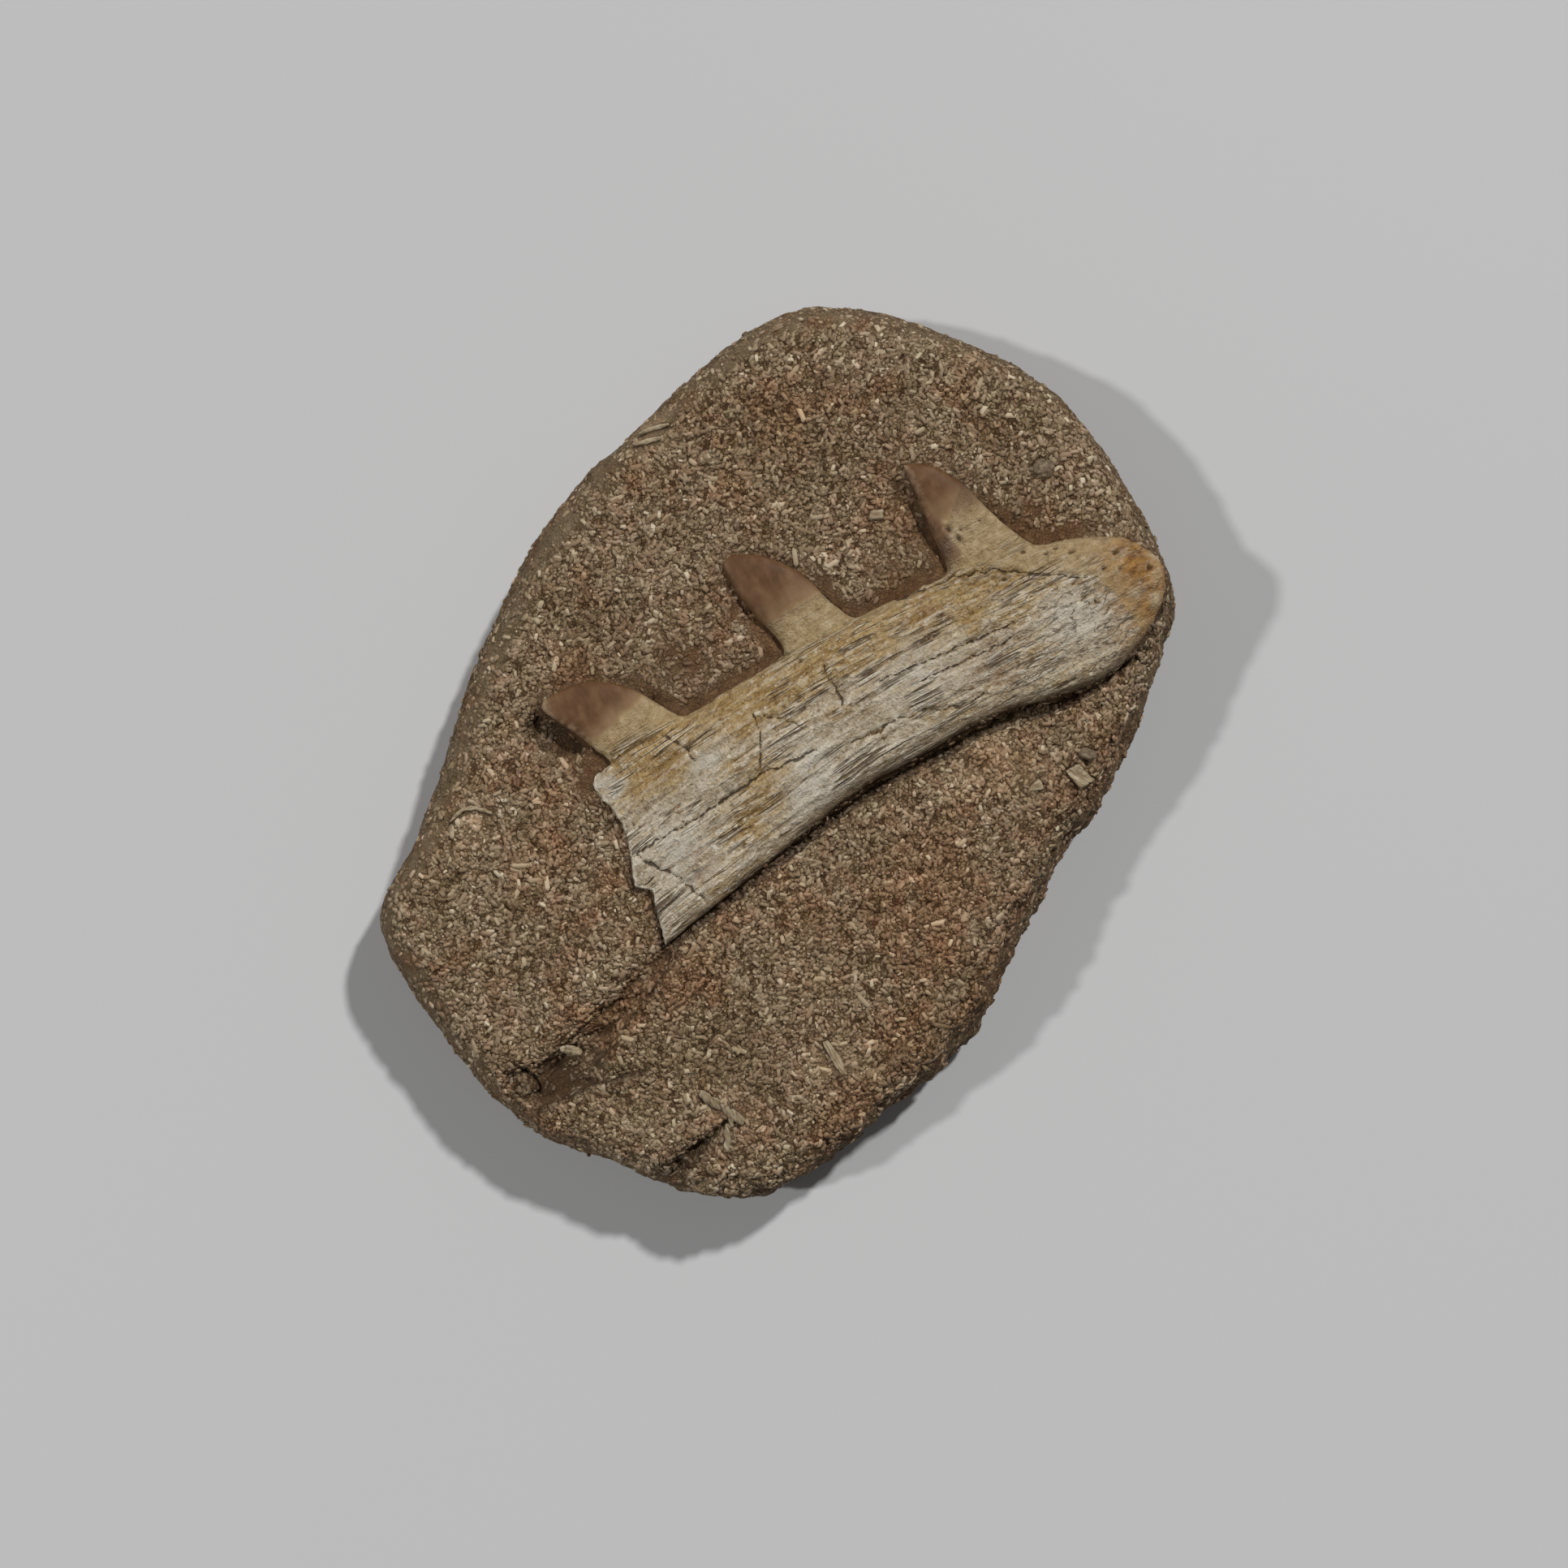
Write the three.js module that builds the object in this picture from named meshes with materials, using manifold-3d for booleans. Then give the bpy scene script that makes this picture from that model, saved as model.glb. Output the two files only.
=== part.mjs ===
// A piece of mosasaur jaw with three tooth crowns, still in its slab of phosphatic sand rock.
// Millimetres, +Z up. The slab lies on its flat underside, with the jaw showing on top.
// The jaw runs from its broken rear end, low on the left, to its rounded front end on the right.

import * as THREE from 'three';
import Module from 'manifold-3d';
import { mergeVertices } from 'three/addons/utils/BufferGeometryUtils.js';

// ---- Driving dimensions ----

const GAP = 0.3; // clearance between two pieces that touch

// Slab: heights of its rim and the dome over it
const RIM_HEIGHT = 24; // at the middle of the slab
const RIM_RISE_X = 0.02; // the rim climbs towards the right ...
const RIM_RISE_Y = 0.03; // ... and towards the top
const DOME_RISE = 2.4;
const OUTLINE_STEPS = 82;
const TOP_RINGS = 9;
const SWELL = { height: 0.45, acrossX: 13, acrossY: 17, startX: 1.1, startY: 0.4 }; // low waves ...
const RIPPLE = { height: 0.25, across: 9 }; // ... and a slighter one, slantwise
const TOP_DIPS = [[-38, -58, 13, 1.6], [-12, -76, 12, 1.1]]; // where it falls away: [x, y, spread, depth]
const SIDE_WAVE = { height: 0.5, around: 5, upward: 9 }; // waves round the side wall

// Jaw: its own axes start at the broken end, X along the bone and Y towards the teeth
const JAW_START = [-26, -19];
const JAW_ANGLE = THREE.MathUtils.degToRad(27.5);
const JAW_BURIED = 7.5; // bone below its widest section
const JAW_STATIONS = 26;
const JAW_CROWDING = 0.496; // part of a half turn: stations stand closer together towards the front end
const JAW_SIDES = 16;
const JAW_SECTION = { side: 0.8, rise: 0.85 }; // powers under 1 make the section squarer than an oval
const JAW_TAPER = { reach: 13, power: 0.7 }; // the bone gets thinner where it reaches out less than this

// Teeth
const TOOTH_STATIONS = 7;
const TOOTH_SIDES = 12;
const TOOTH_SECTION = { side: 0.85, rise: 0.75 };
const TOOTH_BURIED = 2.4; // tooth below its widest section
const TOOTH_FATNESS = 0.7; // most that a tooth can rise or reach down, as part of its half width
const POCKET_OVERLAP = 0.05; // how far the pockets of stump and crown run into each other

// Seen from above: greatest girth of the slab, counted clockwise from the top
const OUTLINE = [
  [5, 80], [18, 79.5], [32, 74.5], [45, 68.5], [55, 60], [61.5, 51], [67, 42], [70.5, 34.5],
  [73, 28], [71.5, 20], [69.5, 14], [66.5, 5], [62, -5], [59, -11.5], [54, -17], [50, -26],
  [43.5, -39], [38.5, -49.5], [31, -58.5], [20.5, -66], [11, -74], [1, -80], [-9, -81.5],
  [-22, -78.5], [-30, -75], [-42, -70.5], [-52, -62.5], [-60, -52.5], [-69, -39.5], [-72.5, -30],
  [-67, -20], [-61.5, -6], [-56, 12], [-47, 32], [-37.5, 46.5], [-27.5, 56], [-15, 67.5], [-5, 76],
];

// Side of the slab from underside to rim: [part of the rim height, inset from the girth]
const UPRIGHT_SIDE = [
  [0, 7], [0.06, 4.2], [0.2, 1.2], [0.42, 0], [0.62, 0.5], [0.8, 1.7], [0.92, 3.6], [1, 6.6],
];
const LEANING_SIDE = [
  [0, 4.5], [0.05, 1.9], [0.15, 0], [0.4, 1.1], [0.62, 2.4], [0.8, 3.8], [0.92, 5.4], [1, 8],
];
const LEANING_DIRECTION = THREE.MathUtils.degToRad(-38); // where the side leans out most at its foot
const LEANING_SPREAD = THREE.MathUtils.degToRad(38);

// Lower and upper margin of the bone, in the jaw's axes
const JAW_LOWER = [
  [-14, -19.5], [-2, -17.3], [14, -14.3], [31, -10.8], [42, -8.6], [56, -8.3], [70, -8], [80, -10.2],
  [89, -11.2], [96, -9.2], [102, -6], [106, -2], [107.6, 2],
];
const JAW_UPPER = [
  [-8, 12], [4, 16], [15, 17.4], [26, 17.8], [40, 18.8], [56, 19], [70, 18.6], [82, 17.2],
  [92, 14.8], [99, 12.4], [104, 9.4], [106.8, 5.6], [107.6, 2],
];

// Side view of the bone, which lies deepest at its rear end: [along, widest section, bone above that]
const JAW_PROFILE = [
  [-14, 23.9, 1.9], [0, 24.2, 2.2], [12, 24.7, 3.3], [28, 25.3, 4.3], [52, 25.9, 4.9], [80, 26.2, 4.8],
  [108, 26.3, 4.4],
];

// The rear end broke off along this ragged line
const BREAK_LINE = [
  [-2, -18.5], [-0.5, -14], [0, -11], [1.3, -7.4], [-1.4, -5.4], [0.2, -1.4], [0.7, 1], [1.8, 6],
  [1.2, 9.5], [0.3, 12], [0.4, 14.2], [2.5, 16.4], [5, 16.8], [6, 24],
];

// Margins of the teeth in the jaw's axes, from the tip down, where the enamel ends, the level of the
// widest section at root and tip, and how far the tooth rises above it
const TEETH = {
  front: {
    rear: [[74.6, 38.9], [74.5, 35], [73.9, 28], [73.4, 21], [72.6, 14]],
    front: [[75.6, 39], [79.6, 36.2], [83.2, 30.4], [85.8, 22.5], [90.5, 13]],
    enamelEnd: 25,
    rootLevel: 26.8,
    tipLevel: 27.1,
    rootProud: 2.4,
    tipProud: 1.2,
  },
  middle: {
    rear: [[38.4, 38], [38.2, 34], [39.1, 29], [40.9, 22], [41, 14]],
    front: [[41, 38.9], [45.6, 36.2], [50.4, 30.4], [52.8, 23.4], [57.5, 14]],
    enamelEnd: 24,
    rootLevel: 26.6,
    tipLevel: 26.9,
    rootProud: 2.4,
    tipProud: 1.1,
  },
  rear: {
    rear: [[-1.6, 30.4], [0.1, 27.2], [2.4, 22.6], [4.6, 17.4], [6.5, 12]],
    front: [[-0.4, 31.6], [7.4, 31.2], [13.8, 27], [17.6, 21.8], [22.5, 13.5]],
    enamelEnd: 21.4,
    rootLevel: 25,
    tipLevel: 25.1,
    rootProud: 1.9,
    tipProud: 1.1,
  },
};

// Hollows carved behind the crowns, in the jaw's axes: [along, across, half sizes x, y, z, turn]
const CROWN_HOLLOWS = [
  [72.6, 29.5, 2.4, 8.5, 2.4, 0],
  [38.2, 29, 1.4, 7.5, 1.2, 4],
  [-1.7, 24.8, 2.7, 7, 3, 25],
];
const CARVED_LIFT = 0.4; // how far above the surface the middle of such a hollow lies

// Natural hollows near the lower rim, in the slab's axes: [x, y, half sizes x, y, z, turn]
const RIM_HOLLOWS = [
  [-44.8, -60.2, 3.6, 2.4, 2.4, 20],
  [-35.6, -58, 6.2, 2.4, 3, 16],
  [-37.5, -61.4, 5.4, 3.2, 2.2, 30],
  [-14.5, -72.4, 3.4, 1.8, 2.2, 42],
];
const HOLLOW_LIFT = 0.3;

// Furrow that runs on from the lower rear corner of the bone: [x, y, half width, depth]
const FURROW = [
  [-17.5, -34.4, 0.7, 1.2], [-22.5, -38.6, 1.5, 2], [-27.5, -45.4, 2, 2.2], [-31.5, -50.6, 2.4, 2.4],
  [-35.5, -55.5, 3, 3], [-41, -59, 3.2, 2.6],
];
const TROUGH_SIDES = 8;
const SLAB_REACH = 75; // from the middle of the slab to its rim, on average

// Undercut along the lower margin of the bone: [along, half width, depth]
const UNDERCUT = [
  [1, 0.5, 1.2], [12, 0.7, 1.7], [28, 1.1, 2.2], [48, 1.6, 2.6], [68, 2, 2.8], [84, 1.6, 2.4],
  [97, 0.9, 1.8],
];
const UNDERCUT_OUTWARD = 0.6; // how far its middle lies off the bone, in half widths
const UNDERCUT_LIFT = 0.3;
const MARGIN_STEPS = 200;

// Bone splinters set in the slab: [x, y] along each, with its width, depth and how far it stands up
const SPLINTERS = {
  edge_sliver_long: {
    path: [[-24.2, 56], [-21.4, 56.8], [-18.6, 57.4]], width: 1.2, depth: 1, proud: 0.35,
  },
  edge_sliver_short: {
    path: [[-25, 54], [-22.6, 54.4], [-20, 54.9]], width: 1.2, depth: 1, proud: 0.3,
  },
  lower_sliver: {
    path: [[8.9, -51.6], [10.8, -54.8], [12.6, -57.8]], width: 1.9, depth: 1.1, proud: 0.3,
  },
  furrow_sliver: {
    path: [[-38.2, -53.2], [-36.4, -53.6], [-34.5, -54.2]], width: 1.5, depth: 1.1, proud: 0.35,
  },
  arc_splinter: {
    path: [[-57.6, -13], [-55.4, -10.9], [-52.8, -10.4], [-50, -11.4]], width: 1, depth: 0.9, proud: 0.3,
  },
};
const FORKED_SPLINTER = [
  { path: [[-13.2, -61], [-9.4, -63.4], [-5.5, -66.2]], width: 1.8, depth: 1.1, proud: 0.35 },
  { path: [[-7.6, -64.8], [-8.3, -68], [-8.6, -71.4]], width: 1.3, depth: 1, proud: 0.25 },
];

const SPLINTER_STEPS = 6;
const SPLINTER_SIDES = 8;
const SPLINTER_TIP = 0.15; // part of the half turn that is cut off each tip
const SPLINTER_SPREAD = 0.7; // power that keeps a splinter wide up to its tips

// Flat chips of bone: corners, depth and how far each stands up
const CHIPS = {
  plate_chip: { corners: [[51.1, -3.8], [54.1, -7], [56.7, -5.5], [53.7, -2.5]], depth: 1.2, proud: 0.45 },
  pale_chip: { corners: [[44.4, -7.4], [47.8, -7.2], [46.6, -4.9]], depth: 1, proud: 0.35 },
  carved_chip: { corners: [[16.6, 40.4], [19, 40.5], [19, 42], [16.8, 41.8]], depth: 1, proud: 0.4 },
};
const CHIP_BEVEL = 0.25;

// Rounded inclusions: [x, y, half sizes x, y, z, turn, how far the middle stands up]
const PEBBLES = {
  grey_pebble: [55.2, -0.9, 1.8, 1.1, 1, -16, 0],
  nodule: [47.3, 49.4, 2.1, 1.9, 1.2, 0, -0.5],
};

const BALL_SIDES = 10;
const BALL_ROWS = 8;
const FAR_OFF = 100; // beyond everything
const MERGE_DISTANCE = 1e-4;

// ---- Solids ----

const wasm = await Module();
wasm.setup();

function geometryOf(points, faces) {
  const geometry = new THREE.BufferGeometry();
  const numbers = points.flatMap((p) => [p.x, p.y, p.z]);
  geometry.setAttribute('position', new THREE.Float32BufferAttribute(numbers, 3));
  geometry.setIndex(faces.flat());
  return geometry;
}

function toSolid(geometry) {
  const plain = geometry.clone();
  plain.deleteAttribute('normal');
  plain.deleteAttribute('uv');
  const merged = mergeVertices(plain, MERGE_DISTANCE);
  const vertProperties = new Float32Array(merged.attributes.position.array);
  const triVerts = new Uint32Array(merged.index.array);
  return new wasm.Manifold(new wasm.Mesh({ numProp: 3, vertProperties, triVerts }));
}

function toGeometry(solid) {
  const { vertProperties, triVerts } = solid.getMesh();
  const geometry = new THREE.BufferGeometry();
  geometry.setAttribute('position', new THREE.Float32BufferAttribute(vertProperties, 3));
  geometry.setIndex(Array.from(triVerts));
  return geometry;
}

// A cut can leave loose crumbs: only the largest body is kept
function largestBody(solid) {
  return solid.decompose().reduce((kept, body) => (body.volume() > kept.volume() ? body : kept));
}

function signedVolume(points, faces) {
  return faces.reduce((sum, [a, b, c]) => sum + points[a].dot(points[b].clone().cross(points[c])) / 6, 0);
}

// Closed skin over a row of rings that hold the same number of points, with a fan on each end
function loft(rings) {
  const sides = rings[0].length;
  const points = rings.flat();
  const faces = [];
  for (let i = 0; i < rings.length - 1; i += 1) {
    for (let j = 0; j < sides; j += 1) {
      const a = i * sides + j;
      const b = i * sides + ((j + 1) % sides);
      faces.push([a, b, b + sides], [a, b + sides, a + sides]);
    }
  }
  const addFan = (ring, first, flip) => {
    const centre = ring.reduce((sum, p) => sum.add(p), new THREE.Vector3()).divideScalar(sides);
    const apex = points.push(centre) - 1;
    for (let j = 0; j < sides; j += 1) {
      const a = first + j;
      const b = first + ((j + 1) % sides);
      faces.push(flip ? [apex, b, a] : [apex, a, b]);
    }
  };
  addFan(rings[0], 0, true);
  addFan(rings.at(-1), (rings.length - 1) * sides, false);
  if (signedVolume(points, faces) < 0) faces.forEach((face) => face.reverse());
  return geometryOf(points, faces);
}

function curveThrough(points, closed = false) {
  const vectors = points.map(([x, y, z = 0]) => new THREE.Vector3(x, y, z));
  return new THREE.CatmullRomCurve3(vectors, closed, 'centripetal');
}

function smoothBump(distance, spread) {
  return Math.exp(-((distance / spread) ** 2));
}

// From the jaw's axes to the slab's
function fromJaw(along, across, height) {
  const p = new THREE.Vector3(along, across, height);
  p.applyAxisAngle(new THREE.Vector3(0, 0, 1), JAW_ANGLE);
  return p.add(new THREE.Vector3(JAW_START[0], JAW_START[1], 0));
}

// ---- Slab ----

function slabTop(x, y, radius) {
  const rim = RIM_HEIGHT + RIM_RISE_X * x + RIM_RISE_Y * y;
  const dome = DOME_RISE * (1 - radius ** 2);
  const swellX = Math.sin(x / SWELL.acrossX + SWELL.startX);
  const swellY = Math.sin(y / SWELL.acrossY + SWELL.startY);
  const ripple = RIPPLE.height * Math.sin((x - y) / RIPPLE.across);
  const dips = TOP_DIPS.reduce((sum, [dipX, dipY, spread, depth]) => (
    sum + depth * smoothBump(Math.hypot(x - dipX, y - dipY), spread)
  ), 0);
  return rim + dome + SWELL.height * swellX * swellY + ripple - dips;
}

function slabGeometry() {
  const girth = curveThrough(OUTLINE, true).getSpacedPoints(OUTLINE_STEPS).slice(0, OUTLINE_STEPS);
  const rings = [];
  const onSide = (p, row) => {
    const direction = Math.atan2(p.y, p.x);
    const away = direction - LEANING_DIRECTION;
    const lean = smoothBump(Math.atan2(Math.sin(away), Math.cos(away)), LEANING_SPREAD);
    const part = THREE.MathUtils.lerp(UPRIGHT_SIDE[row][0], LEANING_SIDE[row][0], lean);
    const inset = THREE.MathUtils.lerp(UPRIGHT_SIDE[row][1], LEANING_SIDE[row][1], lean);
    const phase = SIDE_WAVE.around * direction + SIDE_WAVE.upward * part;
    const wave = SIDE_WAVE.height * Math.sin(phase) * Math.sin(Math.PI * part);
    const scale = 1 - (inset > 1 ? inset + wave : inset) / Math.hypot(p.x, p.y);
    const x = p.x * scale;
    const y = p.y * scale;
    return new THREE.Vector3(x, y, part * slabTop(x, y, 1));
  };
  for (let row = 0; row < UPRIGHT_SIDE.length; row += 1) {
    rings.push(girth.map((p) => onSide(p, row)));
  }
  const rim = rings.at(-1);
  for (let i = 1; i < TOP_RINGS; i += 1) {
    const radius = 1 - i / TOP_RINGS;
    rings.push(rim.map((p) => {
      const x = p.x * radius;
      const y = p.y * radius;
      return new THREE.Vector3(x, y, slabTop(x, y, radius));
    }));
  }
  return loft(rings);
}

// ---- Bone and teeth ----

// Skin between two margins: `section` gives a point from its place along and around the piece
function betweenMargins(lower, upper, stations, sides, section) {
  const lowerCurve = curveThrough(lower);
  const upperCurve = curveThrough(upper);
  return stations.map((station) => {
    const a = lowerCurve.getPoint(station);
    const b = upperCurve.getPoint(station);
    return Array.from({ length: sides }, (_, j) => section(a, b, station, (2 * Math.PI * j) / sides));
  });
}

function signedPower(x, power) {
  return Math.sign(x) * Math.abs(x) ** power;
}

// Row of a profile at a place between its rows
function profileAt(rows, along) {
  const found = rows.findIndex(([place]) => place > along);
  const next = found < 0 ? rows.length - 1 : Math.max(found, 1);
  const before = rows[next - 1];
  const part = THREE.MathUtils.clamp((along - before[0]) / (rows[next][0] - before[0]), 0, 1);
  return rows[next].map((value, i) => THREE.MathUtils.lerp(before[i], value, part));
}

function jawGeometry(grow) {
  const stations = Array.from({ length: JAW_STATIONS + 1 }, (_, i) => (
    Math.sin((JAW_CROWDING * Math.PI * i) / JAW_STATIONS)
  ));
  const rings = betweenMargins(JAW_LOWER, JAW_UPPER, stations, JAW_SIDES, (a, b, station, turn) => {
    const middle = a.clone().lerp(b, 0.5);
    const reach = a.distanceTo(b) / 2 + grow;
    const across = b.clone().sub(a).normalize();
    const side = signedPower(Math.cos(turn), JAW_SECTION.side);
    const rise = signedPower(Math.sin(turn), JAW_SECTION.rise);
    const taper = Math.min(1, (reach / JAW_TAPER.reach) ** JAW_TAPER.power);
    const p = middle.addScaledVector(across, reach * side);
    p.x += grow * station ** 8; // only the front end moves along
    const [, level, proud] = profileAt(JAW_PROFILE, p.x);
    const height = rise > 0 ? proud : JAW_BURIED;
    return fromJaw(p.x, p.y, level + rise * (height * taper + grow));
  });
  return loft(rings);
}

// Part of a tooth between two levels across the jaw, from its tip side down to its root side
function toothGeometry(tooth, from, to, grow) {
  const rearCurve = curveThrough(tooth.rear);
  const frontCurve = curveThrough(tooth.front);
  const rings = Array.from({ length: TOOTH_STATIONS + 1 }, (_, i) => {
    const station = THREE.MathUtils.lerp(from, to, i / TOOTH_STATIONS);
    const a = rearCurve.getPoint(station);
    const b = frontCurve.getPoint(station);
    const across = b.clone().sub(a).normalize();
    const reach = a.distanceTo(b) / 2 + grow;
    const middle = a.clone().lerp(b, 0.5);
    const level = THREE.MathUtils.lerp(tooth.tipLevel, tooth.rootLevel, station);
    const proud = THREE.MathUtils.lerp(tooth.tipProud, tooth.rootProud, station);
    return Array.from({ length: TOOTH_SIDES }, (__, j) => {
      const turn = (2 * Math.PI * j) / TOOTH_SIDES;
      const side = signedPower(Math.cos(turn), TOOTH_SECTION.side);
      const rise = signedPower(Math.sin(turn), TOOTH_SECTION.rise);
      const height = Math.min(rise > 0 ? proud : TOOTH_BURIED, TOOTH_FATNESS * reach) + grow;
      const p = middle.clone().addScaledVector(across, reach * side);
      return fromJaw(p.x, p.y, level + height * rise);
    });
  });
  return loft(rings);
}

// Station along a tooth's margins where it crosses a level
function stationAt(tooth, level) {
  const rearCurve = curveThrough(tooth.rear);
  const frontCurve = curveThrough(tooth.front);
  let low = 0;
  let high = 1;
  for (let i = 0; i < 30; i += 1) {
    const station = (low + high) / 2;
    const across = (rearCurve.getPoint(station).y + frontCurve.getPoint(station).y) / 2;
    if (across > level) low = station;
    else high = station;
  }
  return low;
}

// ---- What is cut into the slab ----

function stretched([x, y, halfX, halfY, halfZ, turn], height, grow = 0) {
  const ball = new THREE.SphereGeometry(1, BALL_SIDES, BALL_ROWS);
  ball.scale(halfX + grow, halfY + grow, halfZ + grow);
  ball.rotateZ(THREE.MathUtils.degToRad(turn));
  ball.translate(x, y, height);
  return ball;
}

// Rounded groove along a path whose points carry its half width and depth
function troughGeometry(path) {
  const rings = path.map(([centre, halfWidth, depth], i) => {
    const before = path[Math.max(i - 1, 0)][0];
    const after = path[Math.min(i + 1, path.length - 1)][0];
    const heading = after.clone().sub(before).setZ(0).normalize();
    const aside = new THREE.Vector3(-heading.y, heading.x, 0);
    return Array.from({ length: TROUGH_SIDES }, (_, j) => {
      const turn = (2 * Math.PI * j) / TROUGH_SIDES;
      const p = centre.clone().addScaledVector(aside, halfWidth * Math.cos(turn));
      return p.setZ(centre.z + depth * Math.sin(turn));
    });
  });
  return loft(rings);
}

function undercutGeometry() {
  const margin = curveThrough(JAW_LOWER).getSpacedPoints(MARGIN_STEPS);
  const path = UNDERCUT.map(([along, halfWidth, depth]) => {
    const edge = margin.reduce((best, p) => (Math.abs(p.x - along) < Math.abs(best.x - along) ? p : best));
    const across = edge.y - UNDERCUT_OUTWARD * halfWidth;
    const [, level] = profileAt(JAW_PROFILE, along);
    return [fromJaw(edge.x, across, level + UNDERCUT_LIFT), halfWidth, depth];
  });
  return troughGeometry(path);
}

function furrowGeometry() {
  const path = FURROW.map(([x, y, halfWidth, depth]) => {
    const radius = Math.hypot(x, y) / SLAB_REACH;
    return [new THREE.Vector3(x, y, slabTop(x, y, radius)), halfWidth, depth];
  });
  return troughGeometry(path);
}

function jawSolid(grow) {
  const rest = [[-FAR_OFF, FAR_OFF], [-FAR_OFF, -FAR_OFF]];
  const shape = new THREE.Shape([...BREAK_LINE, ...rest].map(([x, y]) => new THREE.Vector2(x, y)));
  const lost = new THREE.ExtrudeGeometry(shape, { depth: FAR_OFF, bevelEnabled: false });
  lost.translate(-grow, 0, 0);
  lost.rotateZ(JAW_ANGLE);
  lost.translate(JAW_START[0], JAW_START[1], 0);
  const bone = toSolid(jawGeometry(grow)).subtract(toSolid(lost));
  return Object.values(TEETH).reduce((whole, tooth) => {
    const start = stationAt(tooth, tooth.enamelEnd - GAP) - (grow > 0 ? POCKET_OVERLAP : 0);
    return whole.add(toSolid(toothGeometry(tooth, start, 1, grow)));
  }, bone);
}

function crownGeometry(tooth, grow) {
  return toothGeometry(tooth, 0, stationAt(tooth, tooth.enamelEnd), grow);
}

// ---- Fragments ----

function splinterGeometry({ path, width, depth, proud }, surface, grow) {
  const curve = curveThrough(path);
  const rings = Array.from({ length: SPLINTER_STEPS + 1 }, (_, i) => {
    const part = i / SPLINTER_STEPS;
    const reach = part * (curve.getLength() + 2 * grow) - grow;
    const station = THREE.MathUtils.clamp(reach / curve.getLength(), 0, 1);
    const heading = curve.getTangent(station);
    const centre = curve.getPoint(station).addScaledVector(heading, reach - station * curve.getLength());
    const aside = new THREE.Vector3(-heading.y, heading.x, 0);
    const girth = Math.sin(Math.PI * THREE.MathUtils.lerp(SPLINTER_TIP, 1 - SPLINTER_TIP, part));
    const half = (width / 2) * girth ** SPLINTER_SPREAD + grow;
    const middle = surface(centre.x, centre.y) + proud - depth / 2;
    return Array.from({ length: SPLINTER_SIDES }, (__, j) => {
      const turn = (2 * Math.PI * (j + 0.5)) / SPLINTER_SIDES;
      const p = centre.clone().addScaledVector(aside, half * Math.cos(turn));
      return p.setZ(middle + (depth / 2 + grow) * Math.sin(turn));
    });
  });
  return loft(rings);
}

function chipGeometry({ corners, depth, proud }, surface, grow) {
  const centre = corners.reduce((sum, [x, y]) => sum.add(new THREE.Vector2(x, y)), new THREE.Vector2());
  centre.divideScalar(corners.length);
  const ring = (outward, lift) => corners.map(([x, y]) => {
    const away = new THREE.Vector2(x, y).sub(centre);
    const p = centre.clone().addScaledVector(away.clone().normalize(), away.length() + outward);
    return new THREE.Vector3(p.x, p.y, surface(x, y) + lift);
  });
  return loft([
    ring(grow, proud - depth - grow),
    ring(grow, proud - CHIP_BEVEL + grow),
    ring(grow - CHIP_BEVEL, proud + grow),
  ]);
}

function pebbleGeometry(pebble, surface, grow) {
  return stretched(pebble, surface(pebble[0], pebble[1]) + pebble[6], grow);
}

// ---- Assembly ----

const crowns = Object.fromEntries(Object.entries(TEETH).map(([name, tooth]) => [`crown_${name}`, tooth]));

function heightOver(geometry) {
  const mesh = new THREE.Mesh(geometry, new THREE.MeshStandardMaterial());
  const down = new THREE.Vector3(0, 0, -1);
  return (x, y) => {
    const ray = new THREE.Raycaster(new THREE.Vector3(x, y, FAR_OFF), down);
    return ray.intersectObject(mesh)[0].point.z;
  };
}

let matrix = toSolid(slabGeometry());
const bareSurface = heightOver(toGeometry(matrix));
matrix = matrix.subtract(jawSolid(GAP));
for (const tooth of Object.values(crowns)) matrix = matrix.subtract(toSolid(crownGeometry(tooth, GAP)));
matrix = matrix.subtract(toSolid(undercutGeometry())).subtract(toSolid(furrowGeometry()));
for (const [along, across, halfX, halfY, halfZ, turn] of CROWN_HOLLOWS) {
  const { x, y } = fromJaw(along, across, 0);
  const hollow = [x, y, halfX, halfY, halfZ, turn + THREE.MathUtils.radToDeg(JAW_ANGLE)];
  matrix = matrix.subtract(toSolid(stretched(hollow, bareSurface(x, y) + CARVED_LIFT)));
}
for (const hollow of RIM_HOLLOWS) {
  matrix = matrix.subtract(toSolid(stretched(hollow, bareSurface(hollow[0], hollow[1]) + HOLLOW_LIFT)));
}
matrix = largestBody(matrix);

const surface = heightOver(toGeometry(matrix));
const fragmentSolid = {};
for (const [name, splinter] of Object.entries(SPLINTERS)) {
  fragmentSolid[name] = (grow) => toSolid(splinterGeometry(splinter, surface, grow));
}
for (const [name, chip] of Object.entries(CHIPS)) {
  fragmentSolid[name] = (grow) => toSolid(chipGeometry(chip, surface, grow));
}
for (const [name, pebble] of Object.entries(PEBBLES)) {
  fragmentSolid[name] = (grow) => toSolid(pebbleGeometry(pebble, surface, grow));
}
fragmentSolid.forked_splinter = (grow) => {
  const [stem, branch] = FORKED_SPLINTER.map((arm) => toSolid(splinterGeometry(arm, surface, grow)));
  return stem.add(branch);
};
for (const solidWith of Object.values(fragmentSolid)) matrix = matrix.subtract(solidWith(GAP));
matrix = largestBody(matrix);

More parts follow.
